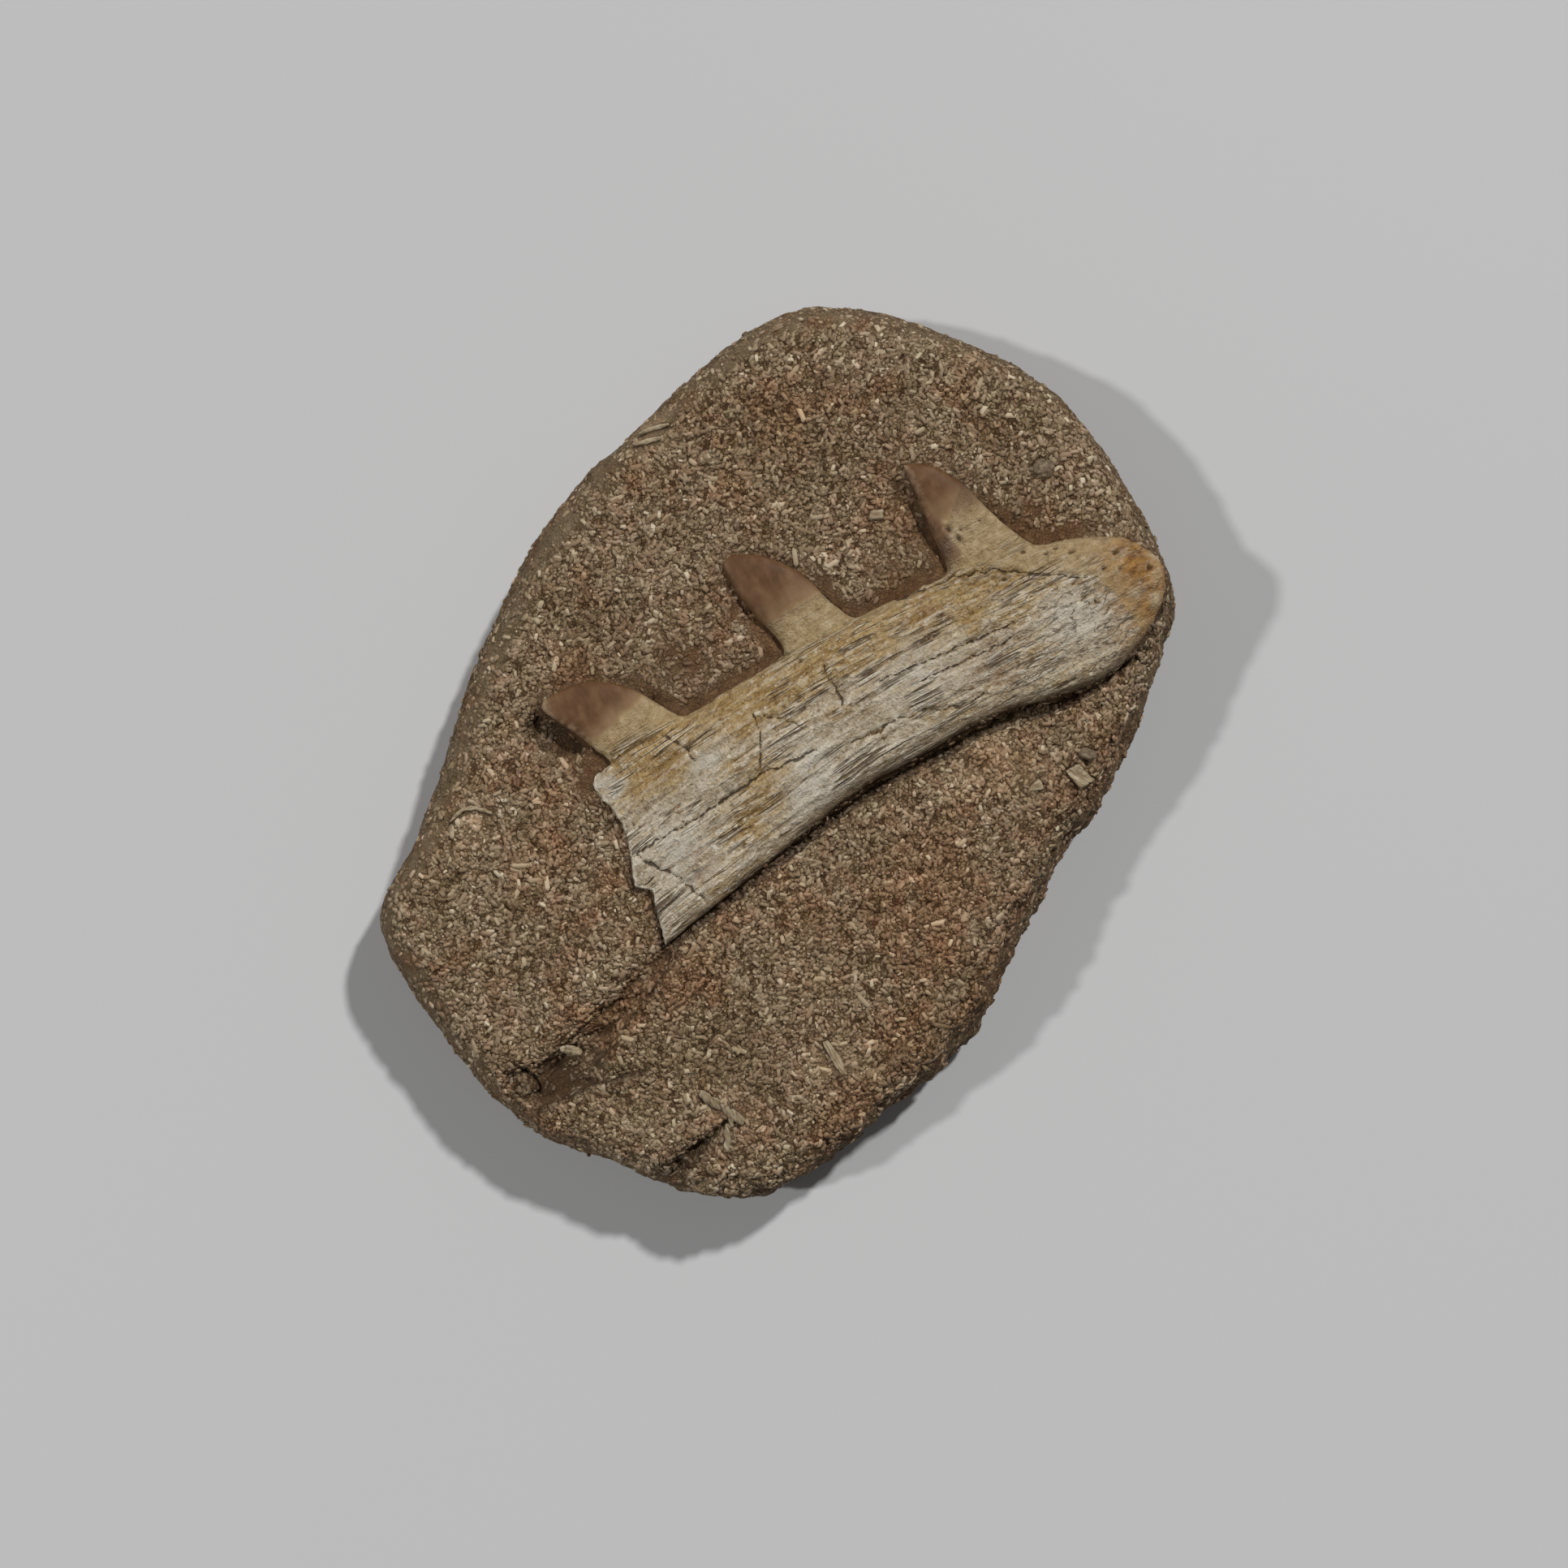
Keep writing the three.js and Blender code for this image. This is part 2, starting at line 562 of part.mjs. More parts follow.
const looks = {
  rock: new THREE.MeshStandardMaterial({ color: 0x7d6a52, roughness: 0.95, metalness: 0 }),
  bone: new THREE.MeshStandardMaterial({ color: 0xb7a88a, roughness: 0.8, metalness: 0 }),
  enamel: new THREE.MeshStandardMaterial({ color: 0x6f4f3a, roughness: 0.4, metalness: 0 }),
  splinter: new THREE.MeshStandardMaterial({ color: 0xbcae96, roughness: 0.8, metalness: 0 }),
  pebble: new THREE.MeshStandardMaterial({ color: 0x77716a, roughness: 0.85, metalness: 0 }),
};

const group = new THREE.Group();
function addPiece(name, geometry, look) {
  const mesh = new THREE.Mesh(geometry, look.clone());
  mesh.name = name;
  group.add(mesh);
}
addPiece('matrix', toGeometry(matrix), looks.rock);
addPiece('jaw_bone', toGeometry(largestBody(jawSolid(0))), looks.bone);
for (const [name, tooth] of Object.entries(crowns)) addPiece(name, crownGeometry(tooth, 0), looks.enamel);
for (const [name, solidWith] of Object.entries(fragmentSolid)) {
  addPiece(name, toGeometry(solidWith(0)), name in PEBBLES ? looks.pebble : looks.splinter);
}

// Origin under the middle of the whole thing, on the surface that it lies on
const box = new THREE.Box3().setFromObject(group);
const middle = box.getCenter(new THREE.Vector3());
group.position.set(-middle.x, -middle.y, -box.min.z);

export default group;
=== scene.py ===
import math

import bpy
import numpy as np
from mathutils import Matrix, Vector
from mathutils.kdtree import KDTree


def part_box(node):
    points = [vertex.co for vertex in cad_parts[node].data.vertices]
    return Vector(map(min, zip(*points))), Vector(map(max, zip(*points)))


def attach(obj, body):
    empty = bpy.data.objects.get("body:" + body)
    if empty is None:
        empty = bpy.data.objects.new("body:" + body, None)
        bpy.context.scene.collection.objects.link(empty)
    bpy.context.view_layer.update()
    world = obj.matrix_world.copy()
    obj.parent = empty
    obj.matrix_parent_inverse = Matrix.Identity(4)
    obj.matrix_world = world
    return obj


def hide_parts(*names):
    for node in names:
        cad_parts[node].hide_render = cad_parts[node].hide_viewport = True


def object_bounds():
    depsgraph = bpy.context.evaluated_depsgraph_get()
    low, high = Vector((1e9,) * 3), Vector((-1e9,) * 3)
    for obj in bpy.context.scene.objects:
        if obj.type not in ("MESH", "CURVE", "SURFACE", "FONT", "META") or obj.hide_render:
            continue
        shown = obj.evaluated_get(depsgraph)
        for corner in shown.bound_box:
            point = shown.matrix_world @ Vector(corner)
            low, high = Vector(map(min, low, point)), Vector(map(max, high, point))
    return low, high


# A piece of mosasaur jaw with three tooth crowns, lying in its slab of grainy phosphatic sand rock.
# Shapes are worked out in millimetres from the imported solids, and turned into metres as pieces are made.

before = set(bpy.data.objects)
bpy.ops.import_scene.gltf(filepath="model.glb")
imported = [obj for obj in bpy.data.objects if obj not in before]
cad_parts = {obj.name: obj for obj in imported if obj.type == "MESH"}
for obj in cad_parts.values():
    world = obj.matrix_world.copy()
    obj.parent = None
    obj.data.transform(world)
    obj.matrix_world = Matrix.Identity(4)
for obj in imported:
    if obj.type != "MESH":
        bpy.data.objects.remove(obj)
cad_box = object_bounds()
MM = 0.001

# ---- Sizes and places, in millimetres ----

# The jaw's own axes: X along the bone from its broken end, Y across it towards the teeth
JAW_CORNER = np.array(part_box("jaw_bone")[0]) / MM
JAW_ORIGIN = JAW_CORNER[:2] + (6.2, 16.0)
JAW_ANGLE = math.radians(27.5)
TOOTHWARD = np.array([-math.sin(JAW_ANGLE), math.cos(JAW_ANGLE), 0])

# Grain of each remeshed skin, and the rounds of smoothing after it
MATRIX_VOXEL = 0.6
MATRIX_ROUNDS = 45
JAW_VOXEL = 0.34
JAW_ROUNDS = 36
FRAGMENT_VOXEL = 0.13
FRAGMENT_ROUNDS = 8

# How far the slab's skin is set in to leave room for its grains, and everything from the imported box
SKIN_INSET = 0.25
BOX_MARGIN = 0.02
# The bone is buried below this height
BURIED_BELOW = 18

CROWNS = ["crown_front", "crown_middle", "crown_rear"]
SPLINTERS = [
    "edge_sliver_long", "edge_sliver_short", "lower_sliver", "furrow_sliver", "arc_splinter",
    "forked_splinter", "plate_chip", "pale_chip", "carved_chip",
]
PEBBLES = ["grey_pebble", "nodule"]
FRAGMENTS = SPLINTERS + PEBBLES
# How far some fragments swell past their plain shape
SWELL = {"forked_splinter": 0.25, "furrow_sliver": 0.2, "carved_chip": 0.15}

# Patches of colour on the slab: [x, y, radius], in the slab's axes
RUST = [
    [21.5, 43.9, 6.5], [-36.5, -6.5, 5], [-38, -15, 5.5], [25, -26, 8], [31.5, -35, 7], [-12.5, 22.5, 6],
    [12, -37, 4], [50, 12, 5], [40.5, -3.5, 5.5], [6, 60, 6], [34, -12, 6],
]
GREY = [[35, -46, 6], [0, 55, 12], [-33, 22, 8], [-10, -50, 9], [44, 36, 6], [40, 58, 6]]
PALE = [
    [39.5, -1.5, 5], [45, -4, 3.5], [33, -5, 3], [-54, -11.5, 4], [-9, -63, 3.5], [10.5, -54.5, 3],
    [-22, 56, 3.5], [-11.2, 35.1, 1.3],
]

# Landforms of the slab, in its axes; each lump is [x, y, radius, height]
FURROW = [
    [-17.9, -33.9], [-20.5, -38.2], [-23.8, -42], [-28, -46.6], [-32, -51.2], [-35.8, -55.2], [-40, -59],
]
LEDGE = [[-42.6, -64.4], [-38.4, -61.8], [-35.2, -60.3], [-32.3, -58.7], [-27.6, -58], [-22.9, -56.5]]
FACET = [[-41.2, -54.6], [-44.5, -61], [-42.4, -64.2], [-32, -58.4], [-34.5, -56.2]]
CLEFT = [[-8.1, -65.7], [-10, -67], [-13.5, -70.6], [-16.2, -73.2], [-17.3, -74.7]]
SOCKET = [-45.1, -59.9]
SOCKET_RADIUS = 2.6
LUMPS = [
    [-21, -71, 5, 0.7], [-8.5, -76.5, 4, 0.6], [-28, -66, 6, 0.5], [-3, -71, 4, 0.5], [3, -66, 3, 0.6],
    [-46, -52, 3, 0.5], [9, -64, 4, 0.5], [20, -58, 4, 0.5], [51, -9, 3, 0.5], [-12, -62, 4, 0.4],
]

# Lower margin of the bone in the jaw's axes, how wide the undercut along it is, and a crack beside it
JAW_LOWER = [
    [-2, -17.3], [14, -14.3], [31, -10.8], [42, -8.6], [56, -8.3], [70, -8], [80, -10.2], [89, -11.2],
    [96, -9.2], [102, -6],
]
UNDERCUT = [[-3, 0.3], [4, 0.7], [28, 1.1], [48, 1.6], [70, 2.2], [84, 1.5], [96, 0.7], [102, 0.2]]
SIDE_CRACK = [[13, -16.3], [18, -15.2], [24.6, -14.4], [30, -13.4]]

# Dark carved ground between and behind the crowns, in the jaw's axes: [x, y, radius]
CARVED = [
    [24.4, 25.4, 7], [65.5, 22.5, 5.5], [-0.5, 22.6, 4], [70.5, 26, 3.4], [72, 30.5, 2.8],
    [73.6, 34.5, 2.4], [36.6, 28.5, 3], [92, 22, 2.8],
]

# Deep cavity beside the rear crown, sunk and darkened with painted shade, in the jaw's axes: [x, y, radius]
PITCH = [[-3.8, 27.4, 2.1], [-2.6, 25.2, 2.6], [-1.2, 23.4, 2.4], [0.6, 21.6, 1.5]]

# The broken end of the bone, and the edge between its smooth margin and its fibrous side
BREAK_LINE = [
    [-2, -18.5], [-0.5, -14], [0, -11], [1.3, -7.4], [-1.4, -5.4], [0.2, -1.4], [0.7, 1], [1.8, 6],
    [1.2, 9.5], [0.3, 12], [0.4, 14.2], [2.5, 16.4],
]
BEIGE_EDGE = [
    [60, 19.4], [73, 18.2], [81, 15.5], [84, 13.3], [88, 11], [90, 9.6], [95.4, 5.8], [97, 2.4], [98.5, -6],
    [99.5, -12],
]

# Cracks and pits in the bone, in the jaw's axes; each pit is [x, y, radius along X, radius along Y]
BONE_CRACKS = [
    [[46.1, 13.8], [46.2, 10.6], [46, 8.8], [46.1, 6.8], [46.1, 5.2]],
    [[31.4, 12.1], [31, 9.2], [29.6, 5.7], [27.6, 2.5]],
    [[0.6, -0.4], [1.5, -0.6], [5, -5.2], [8.9, -12.6]],
    [[1.7, -0.3], [8.6, 0.3], [19.4, 0.9], [27.2, 1.9], [38.4, 1.1]],
    [[44, -0.3], [50, -0.7], [52.7, -0.5]],
    [[53.4, -0.5], [59.3, -1.8], [64.2, -3.6], [69.5, -3.6]],
    [[53.3, 6.8], [61.6, 6.3], [72.8, 5.5], [79.5, 5.1]],
    [[60.1, 3.6], [66.9, 3.2], [72.9, 2.8], [77.5, 2.7]],
    [[32.8, 11], [35.8, 8.6], [38.1, 5.5]],
    [[-1, -5.6], [0.8, -5.9], [2.7, -5.5]],
    [[15.5, 16.2], [18.2, 12.4], [18.6, 9.5]],
    [[63, 18.6], [72, 17.6], [80, 15.2], [86, 11.4], [94, 6.2]],
]
PITS = [
    [86.6, 15.4, 0.75, 0.4], [90, 13.4, 0.6, 0.4], [91.8, 13.6, 0.5, 0.35], [93.9, 11.6, 0.8, 0.45],
    [100.7, 7.8, 0.7, 0.45], [93.6, 2, 0.9, 0.8], [97.5, 6.2, 0.5, 0.35], [100, 4.9, 0.5, 0.4],
    [76.5, 24.9, 0.55, 0.8], [77.4, 22.6, 0.45, 0.9], [82.2, 23.8, 0.4, 0.35], [78.4, 23.9, 0.3, 0.5],
    [105, 2.7, 0.6, 0.6], [81.2, 12.8, 0.7, 0.3], [68.4, 12.1, 0.9, 0.3], [43, 16.5, 0.5, 0.3],
]
# Patches of colour on the bone, in the jaw's axes: [x, y, radius]
OCHRE = [
    [12.6, 14.2, 5.5], [18, 13.2, 4], [43.5, 15.2, 5], [24, -2.5, 4], [33, 14.5, 6], [61, 13.5, 9],
    [72, 14, 6], [84, 15.5, 6], [27.5, 0.9, 4], [54, 12, 4],
]
WHITISH = [[20.9, 8.2, 3], [89, 1.5, 6.5], [2, 12.5, 3], [60, 5, 6], [36, -2, 6], [8, -4, 5]]
REDDISH = [[72.8, -1, 3.2], [11, -7.1, 2.5], [66, 12.5, 3], [98, -2, 5]]


# ---- Noise ----

def spot_hash(cell, seed):
    """A number from 0 to 255 for each cell of a grid."""
    mixed = cell[:, 0] * 73856093 ^ cell[:, 1] * 19349663 ^ cell[:, 2] * 83492791 ^ seed * 2654435761
    mixed = (mixed ^ (mixed >> 13)) * 1274126177
    return (mixed ^ (mixed >> 16)) & 255


def gradients():
    table = np.random.default_rng(7).normal(size=(256, 3))
    return table / np.linalg.norm(table, axis=1, keepdims=True)


GRADIENTS = gradients()


def noise(points, size, seed):
    """Smooth noise, from about -1 to 1. Its waves are about `size` long: one number, or one per axis."""
    at = points / np.asarray(size, float)
    base = np.floor(at).astype(np.int64)
    part = at - base
    fade = part**3 * (part * (part * 6 - 15) + 10)
    total = np.zeros(len(points))
    for corner in np.ndindex(2, 2, 2):
        weight = np.prod(np.where(corner, fade, 1 - fade), axis=1)
        slope = GRADIENTS[spot_hash(base + corner, seed)]
        total += weight * ((part - corner) * slope).sum(1)
    return 1.6 * total


def layered(points, size, layers, seed):
    """Several noises on top of each other, each half as long and half as strong as the last."""
    return sum(0.5**i * noise(points, size / 2**i, seed + i) for i in range(layers))


def rise(low, high, x):
    """0 up to low, 1 from high, and smooth in between; low may be the greater."""
    t = np.clip((x - low) / (high - low), 0, 1)
    return t * t * (3 - 2 * t)


def bell(x, width=1):
    """1 where x is 0, and close to 0 from two widths away."""
    return np.exp(-((x / width) ** 2))


def blobs(points, spots, stir):
    """How much each point lies in one of the round patches, whose edges are stirred by some millimetres."""
    x, y = (points[:, axis] + stir * noise(points, 5, 21 + axis) for axis in (0, 1))
    return bell(np.min([np.hypot(x - spot[0], y - spot[1]) / spot[2] for spot in spots], axis=0))


def stirred(points, by, size, seed):
    """X and Y of each point, moved by up to about `by` so that lines drawn by them waver."""
    return points[:, :2] + by * noise(points, size, seed)[:, None]


def path_distance(xy, path):
    """Distance of each point from a path, how far along it (0 to 1), and 1 left of it or -1 right of it."""
    path = np.asarray(path, float)
    steps = path[1:] - path[:-1]
    lengths = np.linalg.norm(steps, axis=1)
    starts = np.concatenate([[0], np.cumsum(lengths)])
    best = np.full(len(xy), np.inf)
    along = np.zeros(len(xy))
    side = np.ones(len(xy))
    for start, step, length, before in zip(path[:-1], steps, lengths, starts[:-1]):
        offset = xy - start
        t = np.clip((offset @ step) / length**2, 0, 1)
        away = np.linalg.norm(offset - t[:, None] * step, axis=1)
        nearer = away < best
        best[nearer] = away[nearer]
        along[nearer] = (before + t[nearer] * length) / starts[-1]
        side[nearer] = np.where(step[0] * offset[nearer, 1] - step[1] * offset[nearer, 0] > 0, 1, -1)
    return best, along, side


def level_on(path, x):
    """Height of a path over each x."""
    return np.interp(x, *np.transpose(path))


def grooves(points, size, width, seed):
    """Long narrow valleys, from 0 to 1: where a noise changes sign, and only here and there."""
    there = rise(-0.35, 0.35, noise(points, np.multiply(size, (0.5, 1.4, 1.4)), seed + 1))
    return there * bell(noise(points, size, seed), width)


# ---- Meshes as arrays ----

def node_arrays(name):
    """Points and triangles of a solid of the frame, with the points that fall together made one."""
    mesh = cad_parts[name].data
    points = np.array([v.co for v in mesh.vertices], float) / MM
    mesh.calc_loop_triangles()
    faces = np.array([t.vertices for t in mesh.loop_triangles], int)
    places, same = np.unique(points.round(4), axis=0, return_inverse=True)
    return places, same.reshape(-1)[faces]


def face_vectors(points, faces):
    """Twice the area of each triangle or four-sided face, as a vector that points out of it."""
    last = points[faces[:, -1]] - points[faces[:, -3]]
    return np.cross(points[faces[:, -2]] - points[faces[:, 0]], last)


def normals_of(points, faces):
    vectors = face_vectors(points, faces)
    total = np.zeros_like(points)
    for corner in range(faces.shape[1]):
        for axis in range(3):
            total[:, axis] += np.bincount(faces[:, corner], vectors[:, axis], len(points))
    return total / np.maximum(np.linalg.norm(total, axis=1, keepdims=True), 1e-12)


def grown(name, outward, down):
    """A solid of the frame swollen outward on every side, and sunk."""
    points, faces = node_arrays(name)
    points = points + outward * normals_of(points, faces)
    return points - (0, 0, down), faces


def halved(faces):
    """Two triangles for each four-sided face."""
    return np.concatenate([faces[:, [0, 1, 2]], faces[:, [0, 2, 3]]])


def fan(rim, hub):
    """A triangle from each edge of a rim to one point."""
    return np.column_stack([rim, np.full(len(rim), hub)])


def joined(parts):
    points = np.concatenate([p for p, _ in parts])
    starts = np.cumsum([0] + [len(p) for p, _ in parts[:-1]])
    return points, np.concatenate([f + start for (_, f), start in zip(parts, starts)])


def mesh_from(name, points, faces):
    mesh = bpy.data.meshes.new(name)
    mesh.vertices.add(len(points))
    mesh.vertices.foreach_set("co", np.asarray(points, np.float32).ravel())
    sides = faces.shape[1]
    mesh.loops.add(faces.size)
    mesh.loops.foreach_set("vertex_index", faces.astype(np.int32).ravel())
    mesh.polygons.add(len(faces))
    mesh.polygons.foreach_set("loop_start", np.arange(0, faces.size, sides, dtype=np.int32))
    mesh.update(calc_edges=True)
    mesh.validate()
    return mesh


def remeshed(points, faces, voxel):
    """One even skin, of four-sided faces, round everything that the arrays enclose."""
    mesh = mesh_from("working", points, faces)
    helper = bpy.data.objects.new("working", mesh)
    bpy.context.scene.collection.objects.link(helper)
    modifier = helper.modifiers.new("working", "REMESH")
    modifier.mode = "VOXEL"
    modifier.voxel_size = voxel
    made = bpy.data.meshes.new_from_object(helper.evaluated_get(bpy.context.evaluated_depsgraph_get()))
    points = np.empty(len(made.vertices) * 3, np.float32)
    made.vertices.foreach_get("co", points)
    faces = np.empty(len(made.loops), np.int32)
    made.loops.foreach_get("vertex_index", faces)
    bpy.data.objects.remove(helper)
    bpy.data.meshes.remove(made)
    bpy.data.meshes.remove(mesh)
    return points.reshape(-1, 3).astype(float), faces.reshape(-1, 4)


def smoothed(points, faces, rounds, share=1):
    """Each point drawn towards its neighbours, by a share of its own."""
    start = faces.ravel()
    end = np.roll(faces, -1, axis=1).ravel()
    count = np.maximum(np.bincount(start, minlength=len(points)), 1)
    share = np.broadcast_to(share, len(points))[:, None] * 0.6
    for _ in range(rounds):
        around = np.stack([np.bincount(start, points[end, i], len(points)) for i in range(3)], 1)
        points = points + share * (around / count[:, None] - points)
    return points


def hollowness(points, faces, rounds):
    """How deep each point lies below its smoothed surroundings, in millimetres; ridges are negative."""
    return ((smoothed(points, faces, rounds) - points) * normals_of(points, faces)).sum(1)


def nearest(points, others, reach):
    """Distance to the nearest of the others and which it is, up to reach."""
    tree = KDTree(len(others))
    for i, place in enumerate(others):
        tree.insert(place, i)
    tree.balance()
    found = [tree.find(p)[1:] for p in points]
    which = np.array([i for i, _ in found])
    return np.minimum(np.array([d for _, d in found]), reach), which


def jaw_axes(points):
    """Points of the slab's axes in the jaw's axes; heights stay."""
    moved = points[:, :2] - JAW_ORIGIN
    c, s = math.cos(JAW_ANGLE), math.sin(JAW_ANGLE)
    along = moved[:, 0] * c + moved[:, 1] * s
    across = -moved[:, 0] * s + moved[:, 1] * c
    return np.stack([along, across, points[:, 2]], 1)


def open_edges(triangles, count):
    """Edges that only one of the triangles has; count is the number of points."""
    edges = np.concatenate([triangles[:, [0, 1]], triangles[:, [1, 2]], triangles[:, [2, 0]]])
    return edges[~np.isin(edges @ (count, 1), edges @ (1, count))]


def direction_in_jaw(vectors):
    """Directions of the slab's axes in the jaw's axes."""
    return jaw_axes(vectors + (*JAW_ORIGIN, 0))


def bone_grain(own):
    """The jaw's axes, straightened so that X follows the grain of the bone between its two margins."""
    lean = (np.maximum(56 - own[:, 0], 0) / 58) ** 1.6
    lower = -8.2 - 9.3 * lean
    upper = 19 - 3.6 * lean
    part = (own[:, 1] - lower) / (upper - lower)
    return np.stack([own[:, 0], -8.2 + 27.2 * part, own[:, 2]], 1)


def kept_inside(points):
    """The points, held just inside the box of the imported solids."""
    low, high = (np.array(corner) / MM for corner in cad_box)
    return np.clip(points, low + BOX_MARGIN, high - BOX_MARGIN)


def make_piece(name, points, faces, material, attributes, stands_for=(), normals=None, bake=None):
    """A piece of the object from arrays in millimetres, without the points that no face uses.

    The normals are those of the skin that it was cut from; bake says where its corners go in a picture.
    """
    used, part = np.unique(faces, return_inverse=True)
    mesh = mesh_from(name, points[used] * MM, part.reshape(faces.shape))
    mesh.polygons.foreach_set("use_smooth", np.ones(len(mesh.polygons), bool))
    if normals is not None:
        mesh.normals_split_custom_set_from_vertices(normals[used].tolist())
    if bake is not None:
        mesh.uv_layers.new(name="OFBake").uv.foreach_set("vector", np.asarray(bake, np.float32).ravel())
    for key, values in attributes.items():
        kind, field = ("FLOAT", "value") if values.ndim == 1 else ("FLOAT_VECTOR", "vector")
        data = mesh.attributes.new(key, kind, "POINT").data
        data.foreach_set(field, values[used].astype(np.float32).ravel())
    mesh.materials.append(material)
    piece = bpy.data.objects.new(name, mesh)
    bpy.context.scene.collection.objects.link(piece)
    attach(piece, "root")
    if stands_for:
        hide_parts(*stands_for)


# ---- Materials ----

def linear(code):
    """A colour written as in CSS, in the numbers that shaders take."""
    parts = [int(code[i : i + 2], 16) / 255 for i in (1, 3, 5)]
    return [p / 12.92 if p <= 0.04045 else ((p + 0.055) / 1.055) ** 2.4 for p in parts] + [1]


class Output:
    """What a node gives, for use in sums."""

    def __init__(self, look, socket):
        self.look = look
        self.socket = socket

    def __add__(self, other):
        return self.look.math("ADD", self, other)

    def __mul__(self, other):
        return self.look.math("MULTIPLY", self, other)

    def __sub__(self, other):
        return self.look.math("SUBTRACT", self, other)

    def __rsub__(self, other):
        return self.look.math("SUBTRACT", other, self)

    def __abs__(self):
        return self.look.math("ABSOLUTE", self, 0)

    def at_least(self, other):
        return self.look.math("MAXIMUM", self, other)


class Look:
    """A material in the making, with a short form for each kind of node that it uses."""

    def __init__(self, name, roughness, shine=None):
        self.material = bpy.data.materials.new(name)
        self.material.use_nodes = True
        self.nodes = self.material.node_tree.nodes
        self.links = self.material.node_tree.links
        self.surface = self.nodes["Principled BSDF"]
        self.surface.inputs["Roughness"].default_value = roughness
        self.base = None
        if shine is not None:
            self.surface.inputs["Specular IOR Level"].default_value = shine

    def put(self, socket, value):
        if isinstance(value, Output):
            self.links.new(value.socket, socket)
        else:
            socket.default_value = linear(value) if isinstance(value, str) else value

    def node(self, kind, output, inputs, **settings):
        """What a new node gives at one output. Its inputs go by name or number, its settings by name."""
        node = self.nodes.new("ShaderNode" + kind)
        for key, value in settings.items():
            setattr(node, key, value)
        for key, value in inputs.items():
            self.put(node.inputs[key], value)
        return Output(self, node.outputs[output])

    def __getitem__(self, name):
        """A number that the mesh carries."""
        return self.node("Attribute", "Fac", {}, attribute_name=name)

    def place(self):
        return self.node("Attribute", "Vector", {}, attribute_name="place")

    def math(self, operation, a, b, clamp=False):
        return self.node("Math", 0, {0: a, 1: b}, operation=operation, use_clamp=clamp)

    def stretch(self, vector, scale):
        return self.node("VectorMath", 0, {0: vector, 1: scale}, operation="MULTIPLY")

    def shifted(self, vector, by, amount):
        return self.node("VectorMath", 0, {0: by, 1: (amount,) * 3, 2: vector}, operation="MULTIPLY_ADD")

    def noise(self, vector, size, detail=3, roughness=0.55, output="Fac", stretch=None):
        """Noise whose waves are about `size` millimetres long, or longer where stretch is below 1."""
        vector = self.stretch(vector, stretch) if stretch else vector
        inputs = {"Vector": vector, "Scale": 1 / size, "Detail": detail, "Roughness": roughness}
        return self.node("TexNoise", output, inputs)

    def cells(self, vector, size, feature="F1", output="Color"):
        return self.node("TexVoronoi", output, {"Vector": vector, "Scale": 1 / size}, feature=feature)

    def ramp(self, value, stops):
        """Colour (or grey, for numbers) by value: {place: colour}."""
        ramped = self.node("ValToRGB", "Color", {0: value})
        elements = ramped.socket.node.color_ramp.elements
        while len(elements) < len(stops):
            elements.new(0.5)
        for element, (place, colour) in zip(elements, sorted(stops.items())):
            element.position = place
            element.color = linear(colour) if isinstance(colour, str) else (colour, colour, colour, 1)
        return ramped

    def band(self, value, low, high):
        """0 below low, 1 above high, smooth in between."""
        inputs = {"Value": value, "From Min": low, "From Max": high}
        return self.node("MapRange", "Result", inputs, interpolation_type="SMOOTHSTEP")

    def mix(self, amount, a, b, blend="MIX"):
        return self.node("Mix", 2, {0: amount, 6: a, 7: b}, data_type="RGBA", blend_type=blend)

    def paint(self, amount, over, blend="MIX"):
        """Lays a colour over the base colour so far."""
        self.base = self.mix(amount, self.base, over, blend)

    def finished(self):
        """The material, once its base colour is complete."""
        self.put(self.surface.inputs["Base Color"], self.base)
        return self.material

    def rough(self, value):
        self.put(self.surface.inputs["Roughness"], value)

    def bump(self, height, depth):
        """Fine relief, `depth` millimetres from black to white."""
        inputs = {"Strength": 1, "Distance": depth * MM, "Height": height}
        self.put(self.surface.inputs["Normal"], self.node("Bump", "Normal", inputs))


def rock_tints(look, place):
    """Rust, grey, pale and stained ground over the colour so far, for the rock and for its grains."""
    rusty = look["rust"] * look.band(look.noise(place, 9, 4), 0.32, 0.6)
    look.paint(rusty * 0.3, "#a8693f", "SOFT_LIGHT")
    look.paint(rusty * 0.4, "#eec79c", "MULTIPLY")
    look.paint(look["grey"] * 0.5, "#7d7b6c", "SOFT_LIGHT")
    look.paint(look["pale"] * 0.45, "#b89c7c")
    patches = look.noise(place, 3.5, 3, 0.6)
    patches = look.ramp(patches, {0.36: "#e2e0c6", 0.5: "#fffffb", 0.62: "#f8d8c6"})
    look.paint(0.4, patches, "MULTIPLY")
    wide = look.ramp(look.noise(place, 17, 3), {0.3: "#dfd5bf", 0.5: "#ffffff", 0.72: "#f8ecdc"})
    look.paint(0.5, wide, "MULTIPLY")
    stain = look.noise(place, 1.6, 5, 0.7)
    stain = look.ramp(stain, {0.3: "#462d18", 0.5: "#614228", 0.68: "#7e5e3f"})
    look.paint(look["stain"] * 0.8, stain)


